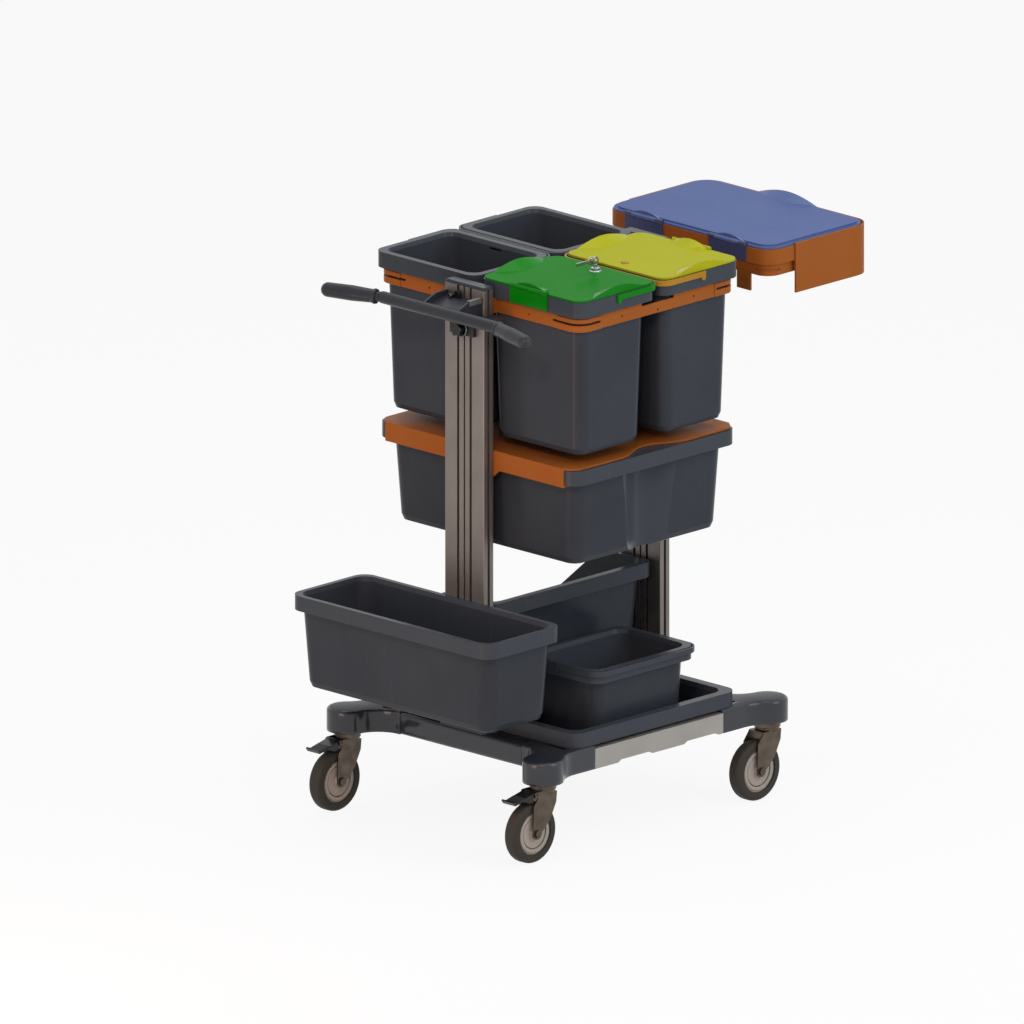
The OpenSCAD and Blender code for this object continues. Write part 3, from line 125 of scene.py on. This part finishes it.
def moulded(name, colour, worn_and_sheen, rough, shine, edge_mm=1.2, streak=0.03, grain=0.02, painted_light_colour=None, top=None):
    """Injection-moulded plastic: slow flow shading, faint upright draw marks from the mould, a fine erosion
    grain and edges painted paler, partly rubbed wear and partly a painted highlight. With a painted-light
    colour, only walls that lean under their rim keep the body colour: rims and insides take that lighter
    colour, painted light that brightens the shaded insides and stands for the sheen on the rims. With a top
    shine, level faces are textured matt and mirror less than the polished sides and slopes."""
    def build(tree, place):
        normal, edge = soft_edges(tree, edge_mm)
        flow = add(tree, "TexNoise", {"Vector": place, "Scale": 1 / (FLOW_MM * MM), "Detail": 3.0})
        upright = add(tree, "Mapping", {"Vector": place, "Scale": DRAWN_UPRIGHT})
        marks = add(tree, "TexNoise", {"Vector": upright, "Scale": 1 / (DRAW_MM * MM), "Detail": 5.0,
                                       "Roughness": 0.6})
        rub = add(tree, "TexNoise", {"Vector": place, "Scale": 1 / (RUB_MM * MM), "Detail": 4.0})
        rubbed = add(tree, "MapRange", {"Value": rub, **HIGH_NOISE, "To Min": 0.1, "To Max": 0.55})
        # Edges painted paler in patches: partly rubbed wear, partly a painted highlight.
        wear_and_sheen = add(tree, "Math", {0: edge, 1: rubbed}, operation="MULTIPLY")
        drift = add(tree, "MapRange", {"Value": flow, **NOISE, "To Max": 0.16})
        lines = add(tree, "MapRange", {"Value": marks, "From Min": 0.35, "From Max": 0.75, "To Max": streak})
        tone = add(tree, "Math", {0: drift, 1: lines}, operation="ADD")
        tone = add(tree, "Math", {0: tone, 1: wear_and_sheen}, operation="ADD", use_clamp=True)
        ground = linear(colour)
        # Rims and insides painted lighter: painted light for the shaded insides and the rims' sheen.
        if painted_light_colour:
            flat = add(tree, "NewGeometry", out="True Normal")
            lean = add(tree, "VectorMath", {0: flat, 1: UPWARD}, out="Value", operation="DOT_PRODUCT")
            painted_light_share = add(tree, "MapRange", {"Value": lean, **LEANING})
            ground = add(tree, "Mix", {SHARE: painted_light_share, UNDER: ground, OVER: linear(painted_light_colour)}, **COLOURS)
        body = add(tree, "Mix", {SHARE: tone, UNDER: ground, OVER: linear(worn_and_sheen)}, **COLOURS)
        dull = add(tree, "MapRange", {"Value": marks, **NOISE, "To Min": rough - 0.02,
                                      "To Max": rough + 0.04})
        pits = add(tree, "TexNoise", {"Vector": place, "Scale": 1 / (GRAIN_MM * MM), "Detail": 2.0})
        relief = add(tree, "Bump", {"Height": pits, "Strength": grain, "Distance": GRAIN_DEPTH_MM * MM,
                                    "Normal": normal})
        mirror = shine
        if top:
            level = add(tree, "VectorMath", {0: normal, 1: UPWARD}, out="Value", operation="DOT_PRODUCT")
            mirror = add(tree, "MapRange", {"Value": level, **LEVEL, "To Min": shine, "To Max": top})
        return {"Base Color": body, "Roughness": dull, "Normal": relief, "Specular IOR Level": mirror}
    return surface(name, build)


# Aluminium profile: the size of its drawn lines and slow tones. The lines are 0.1 mm apart on the real part,
# and are drawn 1.5 mm apart so that they show.
PROFILE_EDGE_MM = 0.7
LINE_MM = 1.5
LINE_DEPTH_MM = 0.05
TONE_MM = 80
ALONG_X = (0.02, 1.0, 1.0)
ALONG_Z = (1.0, 1.0, 0.02)


def extruded(name, colour, pale, along, rough):
    """Anodised aluminium profile: drawn lines along its length, slow tones and corners painted pale, partly
    rubbed wear and partly a painted highlight.
    """
    def build(tree, place):
        normal, edge = soft_edges(tree, PROFILE_EDGE_MM)
        drawn = add(tree, "Mapping", {"Vector": place, "Scale": along})
        lines = add(tree, "TexNoise", {"Vector": drawn, "Scale": 1 / (LINE_MM * MM), "Detail": 3.0,
                                       "Roughness": 0.6})
        cloud = add(tree, "TexNoise", {"Vector": place, "Scale": 1 / (TONE_MM * MM), "Detail": 3.0})
        slow = add(tree, "MapRange", {"Value": cloud, **NOISE, "To Max": 0.5})
        fine = add(tree, "MapRange", {"Value": lines, **NOISE, "To Max": 0.35})
        tone = add(tree, "Math", {0: slow, 1: fine}, operation="ADD", use_clamp=True)
        # Edges painted fully pale: partly rubbed wear, partly a painted highlight.
        tone = add(tree, "Math", {0: tone, 1: edge}, operation="MAXIMUM")
        body = add(tree, "Mix", {SHARE: tone, UNDER: linear(colour), OVER: linear(pale)}, **COLOURS)
        dull = add(tree, "MapRange", {"Value": lines, **NOISE, "To Min": rough - 0.06,
                                      "To Max": rough + 0.08})
        relief = add(tree, "Bump", {"Height": lines, "Strength": 0.12, "Distance": LINE_DEPTH_MM * MM,
                                    "Normal": normal})
        return {"Base Color": body, "Metallic": 0.6, "Roughness": dull, "Normal": relief}
    return surface(name, build)


# Pressed steel: the size of the clouds in its plating and of its dents.
PRESSED_EDGE_MM = 0.8
CLOUD_MM = 25
DENT_MM = 4
DENT_DEPTH_MM = 0.1


def plated(name, colour, stain, rough):
    """Zinc- or nickel-plated pressed steel: cloudy plating, darker stains and edges kept bright, partly
    rubbed clean and partly a painted highlight.
    """
    def build(tree, place):
        normal, edge = soft_edges(tree, PRESSED_EDGE_MM)
        cloud = add(tree, "TexNoise", {"Vector": place, "Scale": 1 / (CLOUD_MM * MM), "Detail": 3.0})
        tone = add(tree, "MapRange", {"Value": cloud, "From Min": 0.35, "From Max": 0.65})
        # Edges kept at the bright colour: partly rubbed clean, partly a painted highlight.
        clean_and_sheen = add(tree, "Math", {0: 1.0, 1: edge}, operation="SUBTRACT")
        tone = add(tree, "Math", {0: tone, 1: clean_and_sheen}, operation="MULTIPLY", use_clamp=True)
        body = add(tree, "Mix", {SHARE: tone, UNDER: linear(colour), OVER: linear(stain)}, **COLOURS)
        dull = add(tree, "MapRange", {"Value": cloud, **NOISE, "To Min": rough, "To Max": rough + 0.16})
        dents = add(tree, "TexNoise", {"Vector": place, "Scale": 1 / (DENT_MM * MM), "Detail": 3.0})
        relief = add(tree, "Bump", {"Height": dents, "Strength": 0.05, "Distance": DENT_DEPTH_MM * MM,
                                    "Normal": normal})
        return {"Base Color": body, "Metallic": 1.0, "Roughness": dull, "Normal": relief}
    return surface(name, build)


# Tyres: the size of the dusty spots and how deep they lie.
TYRE_EDGE_MM = 1.2
DUST_MM = 5
DUST_DEPTH_MM = 0.25


def rubber(name, colour, dust_and_sheen):
    """Grey non-marking rubber: dry, painted pale along its edges, partly scuffs and partly a painted
    highlight, with spots of floor dust.
    """
    def build(tree, place):
        normal, edge = soft_edges(tree, TYRE_EDGE_MM)
        dirt = add(tree, "TexNoise", {"Vector": place, "Scale": 1 / (DUST_MM * MM), "Detail": 6.0,
                                      "Roughness": 0.7})
        tone = add(tree, "MapRange", {"Value": dirt, **HIGH_NOISE, "To Max": 0.6})
        # Edges painted pale: partly scuffs, partly a painted highlight.
        tone = add(tree, "Math", {0: tone, 1: edge}, operation="MAXIMUM")
        body = add(tree, "Mix", {SHARE: tone, UNDER: linear(colour), OVER: linear(dust_and_sheen)}, **COLOURS)
        dull = add(tree, "MapRange", {"Value": dirt, **NOISE, "To Min": 0.55, "To Max": 0.8})
        relief = add(tree, "Bump", {"Height": dirt, "Strength": 0.15, "Distance": DUST_DEPTH_MM * MM,
                                    "Normal": normal})
        return {"Base Color": body, "Roughness": dull, "Normal": relief, "Specular IOR Level": 0.25}
    return surface(name, build)


# Buckets, bins, drawer and tray: dark polypropylene, satin, so that upright faces mirror the floor softly.
# Its rims and insides are painted lighter, as painted light for the shaded insides and the rims' sheen.
GRAPHITE = moulded("graphite_polypropylene_satin", "#31353b", "#4e535a", rough=0.24, shine=0.1,
                   painted_light_colour="#3d4248")
# Corner castings and end bars: polished glass-filled nylon, which shows the lamps as sharp spots.
# Its wide 8 mm edge band paints the rims paler: partly wear, partly a painted highlight.
CASTING = moulded("dark_nylon_polished", "#282b31", "#4a4e56", rough=0.08, shine=0.45,
                  edge_mm=8, streak=0.0, grain=0.01, top=0.05)
# Carrier, shelf and bag holder: orange polypropylene with a dry sheen.
ORANGE = moulded("orange_polypropylene_satin", "#985420", "#b6733b", rough=0.36, shine=0.07)
# Bucket lids and their clips: coloured polypropylene, glossy on the slopes, with slow shading on the tops.
GREEN = moulded("green_polypropylene_gloss", "#06750a", "#1f9624", rough=0.18, shine=0.08,
                grain=0.01, top=0.01)
YELLOW = moulded("yellow_polypropylene_gloss", "#a6a80a", "#bcbc2c", rough=0.18, shine=0.08,
                 grain=0.01, top=0.01)
# Bow of the bucket with the yellow lid, and that lid's plug: a browner yellow, smooth and a little duller.
AMBER = moulded("amber_polypropylene_gloss", "#a4781e", "#bf9644", rough=0.26, shine=0.1, grain=0.01)
# Bag lid, with an even matt top, and its hinge clips, of the same plastic in a darker blue.
BLUE = moulded("blue_polypropylene_satin", "#4f6091", "#6678a8", rough=0.28, shine=0.2, top=0.02)
NAVY = moulded("dark_blue_polypropylene_satin", "#3b4469", "#545f88", rough=0.26, shine=0.2)
# Push handle and pedal treads: dark grip moulding with a stronger grain that dulls it.
GRIP = moulded("grip_moulding_satin", "#2a2d32", "#474a50", rough=0.32, shine=0.2, grain=0.05)
# Clamp knob, latch and pedals: hard black phenolic, which catches small bright lights.
BLACK = moulded("phenolic_black_moulded", "#131416", "#2c2e32", rough=0.22, shine=0.35, grain=0.04)
# Wheel centres: pale nylon with a dull sheen.
HUB = moulded("wheel_nylon_grey", "#a59c90", "#b5ada2", rough=0.4, shine=0.2)
# Tyres: grey rubber, dry and dusty.
TYRE = rubber("tyre_rubber_grey", "#302d28", "#423e36")
# Posts and rails: anodised profiles, soft grey with a faint brushed look along their length.
POST = extruded("post_aluminium_anodised", "#756e69", "#857f79", ALONG_Z, rough=0.4)
RAIL = extruded("rail_aluminium_anodised", "#96928c", "#a5a29c", ALONG_X, rough=0.38)
# Caster forks, their bolts and the latch pin: zinc-plated steel, brownish and cloudy.
FORK = plated("fork_steel_zinc", "#645a50", "#564d44", rough=0.3)
# Lock, its flange and key: bright nickel, which mirrors the room.
NICKEL = plated("key_steel_nickel", "#b9bcc0", "#9fa3a8", rough=0.16)
# Spring clip and bezel: tumbled steel, grey and dull enough that it mirrors no sharp shapes.
SPRING = plated("clip_steel_tumbled", "#7d8382", "#6b7170", rough=0.5)

SLOT_FINISH = {
    "graphite": GRAPHITE, "casting": CASTING, "orange": ORANGE, "green": GREEN, "yellow": YELLOW,
    "blue": BLUE, "handle": GRIP, "hub": HUB, "post": POST, "rail": RAIL, "fork": FORK, "plated": NICKEL,
    "tyre": TYRE,
}
OWN_FINISH = {
    "handle_knob": BLACK, "bail_rear_right": AMBER, "lid_plug": AMBER, "bag_hinges": NAVY,
    "pedal_left": BLACK, "pedal_right": BLACK,
}
for subpart in frame["record"]["subparts"]:
    node = subpart["node"]
    mesh = NODES[node].data
    mesh.materials.clear()
    mesh.materials.append(OWN_FINISH.get(node, SLOT_FINISH[subpart["material_slot"]]))


def shown(name, data):
    """A new object in the scene."""
    made = bpy.data.objects.new(name, data)
    bpy.context.scene.collection.objects.link(made)
    return made


def piece(name, shape, finish, body, edge_mm=0.4):
    """Turns a bmesh into a named piece that rides on a body, shaded smooth. Its sharp edges get a fine
    bevel, unless edge_mm is 0."""
    made = shown(name, bpy.data.meshes.new(name))
    shape.to_mesh(made.data)
    shape.free()
    made.data.materials.append(finish)
    for face in made.data.polygons:
        face.use_smooth = True
    if edge_mm:
        edge = made.modifiers.new("edge", "BEVEL")
        edge.width = edge_mm * MM
        edge.segments = 2
        edge.limit_method = "ANGLE"
        edge.harden_normals = True
    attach(made, body)
    return made


def turned(profile, steps, axis, at, bore=0.0):
    """A closed turned shape. Its profile is (radius past the bore, height) in mm, from axis to axis or back
    to its start."""
    shape = bmesh.new()
    rings = []
    for past, height in profile:
        radius = bore + past * MM
        turns = [math.tau * i / steps for i in range(steps if radius else 1)]
        ring = [(radius * math.cos(a), radius * math.sin(a), height * MM) for a in turns]
        rings.append([shape.verts.new(point) for point in ring])
    for low, high in zip(rings, rings[1:]):
        for i in range(steps):
            k = (i + 1) % steps
            corners = [low[i % len(low)], low[k % len(low)], high[k % len(high)], high[i % len(high)]]
            shape.faces.new(list(dict.fromkeys(corners)))
    bmesh.ops.remove_doubles(shape, verts=shape.verts, dist=SAME_POINT)
    turn = Vector(UPWARD).rotation_difference(Vector(axis)).to_matrix().to_4x4()
    bmesh.ops.transform(shape, matrix=Matrix.Translation(at) @ turn, verts=shape.verts)
    bmesh.ops.recalc_face_normals(shape, faces=shape.faces)
    return shape


def folded(section, start, end, across=False):
    """A strip drawn along x from start to end, its section in (y, z), or across along y, in (x, z)."""
    shape = bmesh.new()
    ends = [[shape.verts.new((u, s, z) if across else (s, u, z)) for u, z in section] for s in (start, end)]
    count = len(section)
    for i in range(count):
        k = (i + 1) % count
        shape.faces.new((ends[0][i], ends[0][k], ends[1][k], ends[1][i]))
    shape.faces.new(ends[0])
    shape.faces.new(ends[1])
    bmesh.ops.recalc_face_normals(shape, faces=shape.faces)
    return shape


def centre(node):
    """The middle of a node's box."""
    low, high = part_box(node)
    return [(a + b) / 2 for a, b in zip(low, high)]


# Corner castings with their upper outer rim rounded off.
RIM_R = 7 * MM
RIM_STEPS = 5
RIM_PROFILE = 0.5
COPLANAR = math.radians(0.5)
SMOOTH_BELOW = math.radians(35)
# The most that an upright face's normal leans, how far a rim point may be from the top, and how squarely a
# side faces the cart's middle if it meets a rail, an end bar or the tray.
UPRIGHT_LEAN = 0.2
RIM_HEIGHT_OFF = 0.01 * MM
SQUARE_ON = 0.99


def eased_casting(node, radius):
    """A copy of a corner casting with a rounded rim. The edges that meet rails, bars and tray stay sharp."""
    shape = bmesh.new()
    shape.from_mesh(NODES[node].data)
    bmesh.ops.remove_doubles(shape, verts=shape.verts, dist=SAME_POINT)
    bmesh.ops.dissolve_limit(shape, angle_limit=COPLANAR, verts=shape.verts, edges=shape.edges)
    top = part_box(node)[1][2]
    x, y, _ = centre(node)
    inward = (Vector((-math.copysign(1, x), 0, 0)), Vector((0, -math.copysign(1, y), 0)))
    rim = []
    for edge in shape.edges:
        sides = [face.normal for face in edge.link_faces if abs(face.normal.z) < UPRIGHT_LEAN]
        on_top = all(abs(point.co.z - top) < RIM_HEIGHT_OFF for point in edge.verts)
        if on_top and len(sides) == 1 and all(sides[0].dot(way) < SQUARE_ON for way in inward):
            rim.append(edge)
    bmesh.ops.bevel(shape, geom=rim, offset=radius, offset_type="OFFSET", segments=RIM_STEPS,
                    profile=RIM_PROFILE, affect="EDGES", clamp_overlap=True)
    bmesh.ops.recalc_face_normals(shape, faces=shape.faces)
    for edge in shape.edges:
        edge.smooth = edge.calc_face_angle(math.pi) < SMOOTH_BELOW
    return shape


for corner in ("front_left", "front_right", "rear_left", "rear_right"):
    eased = eased_casting("casting_" + corner, RIM_R)
    casting = piece("casting_eased_" + corner, eased, CASTING, "chassis", edge_mm=0)
    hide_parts("casting_" + corner)

POST_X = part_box("post_front")[0][0]
BRACKET_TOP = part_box("handle_bracket")[1][2]
BAR_Z = centre("handle_bar")[2]
# Sides of a small turned piece and of a larger one.
FEW_SIDES = 24
MANY_SIDES = 40

# Spring clip of bent steel strip over the top of the bracket's right side plate, beside the post.
PLATE_Y = (-50 * MM, -45 * MM)
STRIP_T = 1.3 * MM
STRIP_AIR = 0.2 * MM
CLIP_DROP = 10 * MM
CLIP_X = (POST_X - 37 * MM, POST_X - 2 * MM)
inner = (PLATE_Y[0] - STRIP_AIR, PLATE_Y[1] + STRIP_AIR)
outer = (inner[0] - STRIP_T, inner[1] + STRIP_T)
ridge = BRACKET_TOP + STRIP_AIR
foot = ridge - CLIP_DROP
bent = [(outer[0], foot), (outer[0], ridge + STRIP_T), (outer[1], ridge + STRIP_T), (outer[1], foot),
        (inner[1], foot), (inner[1], ridge), (inner[0], ridge), (inner[0], foot)]
piece("bracket_clip", folded(bent, *CLIP_X), SPRING, "handle")

# Height latch: a dark rounded tongue that stands on the bracket's web in front of the post.
LATCH_X = (POST_X - 10 * MM, POST_X - 4 * MM)
LATCH_Y = 12 * MM
LATCH_R = 8 * MM
LATCH_FOOT = BAR_Z + 6 * MM
LATCH_TOP = BAR_Z + 30 * MM
ARCH_STEPS = 12
bends = [math.pi * i / ARCH_STEPS for i in range(ARCH_STEPS + 1)]
tongue = [(LATCH_Y + LATCH_R * math.cos(a), LATCH_TOP - LATCH_R + LATCH_R * math.sin(a)) for a in bends]
tongue += [(LATCH_Y - LATCH_R, LATCH_FOOT), (LATCH_Y + LATCH_R, LATCH_FOOT)]
piece("bracket_latch", folded(tongue, *LATCH_X), BLACK, "handle")

# The latch's pin, with a hollow end.
PIN_AT = (POST_X - 8 * MM, 26 * MM, BAR_Z + 17 * MM)
pin = [(0, 0), (5, 0), (5, 7), (4, 8.5), (2, 8.5), (2, 6.5), (0, 6.5)]
piece("bracket_pin", turned(pin, FEW_SIDES, HANDLEWARD, PIN_AT), FORK, "handle")

# Steel bezel on the clamp plate, round the star knob.
BEZEL_IN = 8.6 * MM
bezel_at = (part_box("handle_knob")[1][0] - BEZEL_IN, *centre("handle_knob")[1:])
bezel = [(15.6, 0), (17.8, 0), (18.2, 1.2), (17.8, 3.4), (16.6, 4.0), (15.6, 3.2), (15.6, 0)]
piece("knob_bezel", turned(bezel, MANY_SIDES, HANDLEWARD, bezel_at), SPRING, "handle")

# Stepped flange where the lock stands on the green lid.
LOCK_H = 7 * MM
lock_low, lock_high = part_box("lid_lock")
lock_r = (lock_high[0] - lock_low[0]) / 2
flange_at = (*centre("lid_lock")[:2], lock_high[2] - LOCK_H)
flange = [(0.2, 0), (3.2, 0), (3.2, 0.9), (2.6, 1.5), (1.4, 1.5), (1.2, 2.6), (0.2, 2.8), (0.2, 0)]
collar = turned(flange, MANY_SIDES, UPWARD, flange_at, bore=lock_r)
piece("lock_flange", collar, NICKEL, "green_lid")

# Ribbed tread pads on the tops of the two brake pedals, which slope by 12.4 mm in 53.6 mm. Sizes are in mm.
PAD_SLOPE = math.atan2(12.4, 53.6)
PAD_L = 27.5
PAD_T = 0.5
PAD_SUNK = 0.3
PAD_SIDE = 5
PAD_TOE = (9.5, 7.6)
PAD_EDGE = 0.15
RIBS = 5
RIB_START = 1
RIB_PITCH = 5.4
RIB_H = 1.6
RIB_W = 2.6
RIB_FLANK = 0.5
comb = [(0, -PAD_SUNK), (0, PAD_T)]
for i in range(RIBS):
    near = RIB_START + i * RIB_PITCH
    far = near + RIB_W
    comb += [(near, PAD_T), (near + RIB_FLANK, RIB_H), (far - RIB_FLANK, RIB_H), (far, PAD_T)]
comb += [(PAD_L, PAD_T), (PAD_L, -PAD_SUNK)]
for side in ("left", "right"):
    low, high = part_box("pedal_" + side)
    toe_x, toe_z = low[0] + PAD_TOE[0] * MM, low[2] + PAD_TOE[1] * MM
    ribbed = [(toe_x + (s * math.cos(PAD_SLOPE) - h * math.sin(PAD_SLOPE)) * MM,
               toe_z + (s * math.sin(PAD_SLOPE) + h * math.cos(PAD_SLOPE)) * MM) for s, h in comb]
    tread = folded(ribbed, low[1] + PAD_SIDE * MM, high[1] - PAD_SIDE * MM, across=True)
    piece("pedal_tread_" + side, tread, GRIP, "brake_" + side, edge_mm=PAD_EDGE)

# The photograph has no perspective. Its scale and the place of the cart's origin are in its own pixels.
IMAGE_PX = 1024
PX_PER_M = 497.6
ORIGIN_PX = Vector((557.3, 801.0))
TURN = math.radians(44.4)
TILT = math.radians(15.84)
CAMERA_AWAY = 5
right = Vector((math.sin(TURN), -math.cos(TURN), 0))
ahead = Vector((math.cos(TILT) * math.cos(TURN), math.cos(TILT) * math.sin(TURN), -math.sin(TILT)))
up = right.cross(ahead)
middle = Vector((IMAGE_PX / 2, IMAGE_PX / 2)) - ORIGIN_PX
target = right * (middle.x / PX_PER_M) - up * (middle.y / PX_PER_M)
facing = Matrix((right, up, -ahead)).transposed().to_4x4()

camera = shown("camera", bpy.data.cameras.new("camera"))
camera.data.type = "ORTHO"
camera.data.ortho_scale = IMAGE_PX / PX_PER_M
camera.matrix_world = Matrix.Translation(target - ahead * CAMERA_AWAY) @ facing
bpy.context.scene.camera = camera


def white_share(tree, share):
    """The given share where the camera looks, straight on or by a mirror or glass, and 0 elsewhere."""
    straight = add(tree, "LightPath", out="Is Camera Ray")
    mirrored = add(tree, "LightPath", out="Is Glossy Ray")
    through = add(tree, "LightPath", out="Is Transmission Ray")
    seen = add(tree, "Math", {0: straight, 1: mirrored}, operation="MAXIMUM")
    seen = add(tree, "Math", {0: seen, 1: through}, operation="MAXIMUM")
    return add(tree, "Math", {0: seen, 1: share}, operation="MULTIPLY")


# Soft studio: an even pale room that the camera sees as white.
ROOM_LIGHT = 0.55
world = bpy.data.worlds.new("studio")
bpy.context.scene.world = world
sky = empty_tree(world)
room = add(sky, "Background", {"Color": linear("#e9eef5"), "Strength": ROOM_LIGHT})
white = add(sky, "Background", {"Color": WHITE})
seen_room = add(sky, "MixShader", {0: white_share(sky, 1.0), 1: room, 2: white})
add(sky, "OutputWorld", {"Surface": seen_room})

# Plain pale floor: nearly white, with a little of the shaded floor left so that the cart keeps its shadow.
FLOOR_SIZE = 30
FLOOR_WHITE = 0.9
floor = shown("floor", bpy.data.meshes.new("floor"))
sheet = bmesh.new()
bmesh.ops.create_grid(sheet, x_segments=1, y_segments=1, size=FLOOR_SIZE)
sheet.to_mesh(floor.data)
sheet.free()
pale = bpy.data.materials.new("floor_pale_matte")
ground = empty_tree(pale)
matte = add(ground, "BsdfDiffuse", {"Color": linear("#f2f1ef")})
glow = add(ground, "Emission", {"Color": WHITE})
seen_floor = add(ground, "MixShader", {0: white_share(ground, FLOOR_WHITE), 1: matte, 2: glow})
add(ground, "OutputMaterial", {"Surface": seen_floor})
floor.data.materials.append(pale)


def softbox(name, place, aim, size, watts, colour):
    """A square area light aimed at a point. Places and sizes are in metres."""
    lamp = bpy.data.lights.new(name, "AREA")
    lamp.size = size
    lamp.energy = watts
    lamp.color = linear(colour)[:3]
    holder = shown(name, lamp)
    holder.location = place
    holder.rotation_euler = (Vector(aim) - Vector(place)).to_track_quat("-Z", "Y").to_euler()
    holder.visible_camera = False


# The cart's right side is lit most, cool; its front less, warm. Two small lamps give twin sparks.
softbox("key", place=(0.9, -3.2, 2.2), aim=(0, 0, 0.7), size=2.0, watts=40, colour="#eef4ff")
softbox("front", place=(-2.2, -0.1, 0.45), aim=(-0.3, 0, 0.45), size=0.9, watts=11, colour="#ffd2ba")
softbox("top", place=(0.3, 0.3, 3.4), aim=(0, 0, 0.8), size=2.2, watts=30, colour="#ffffff")
softbox("spark_left", place=(-2.4, -1.5, 2.5), aim=(-0.2, 0, 0.4), size=0.16, watts=12, colour="#ffd9cf")
softbox("spark_right", place=(-2.0, -1.9, 2.5), aim=(-0.2, 0, 0.4), size=0.16, watts=12, colour="#ffd9cf")

bpy.context.scene.view_settings.view_transform = "Standard"
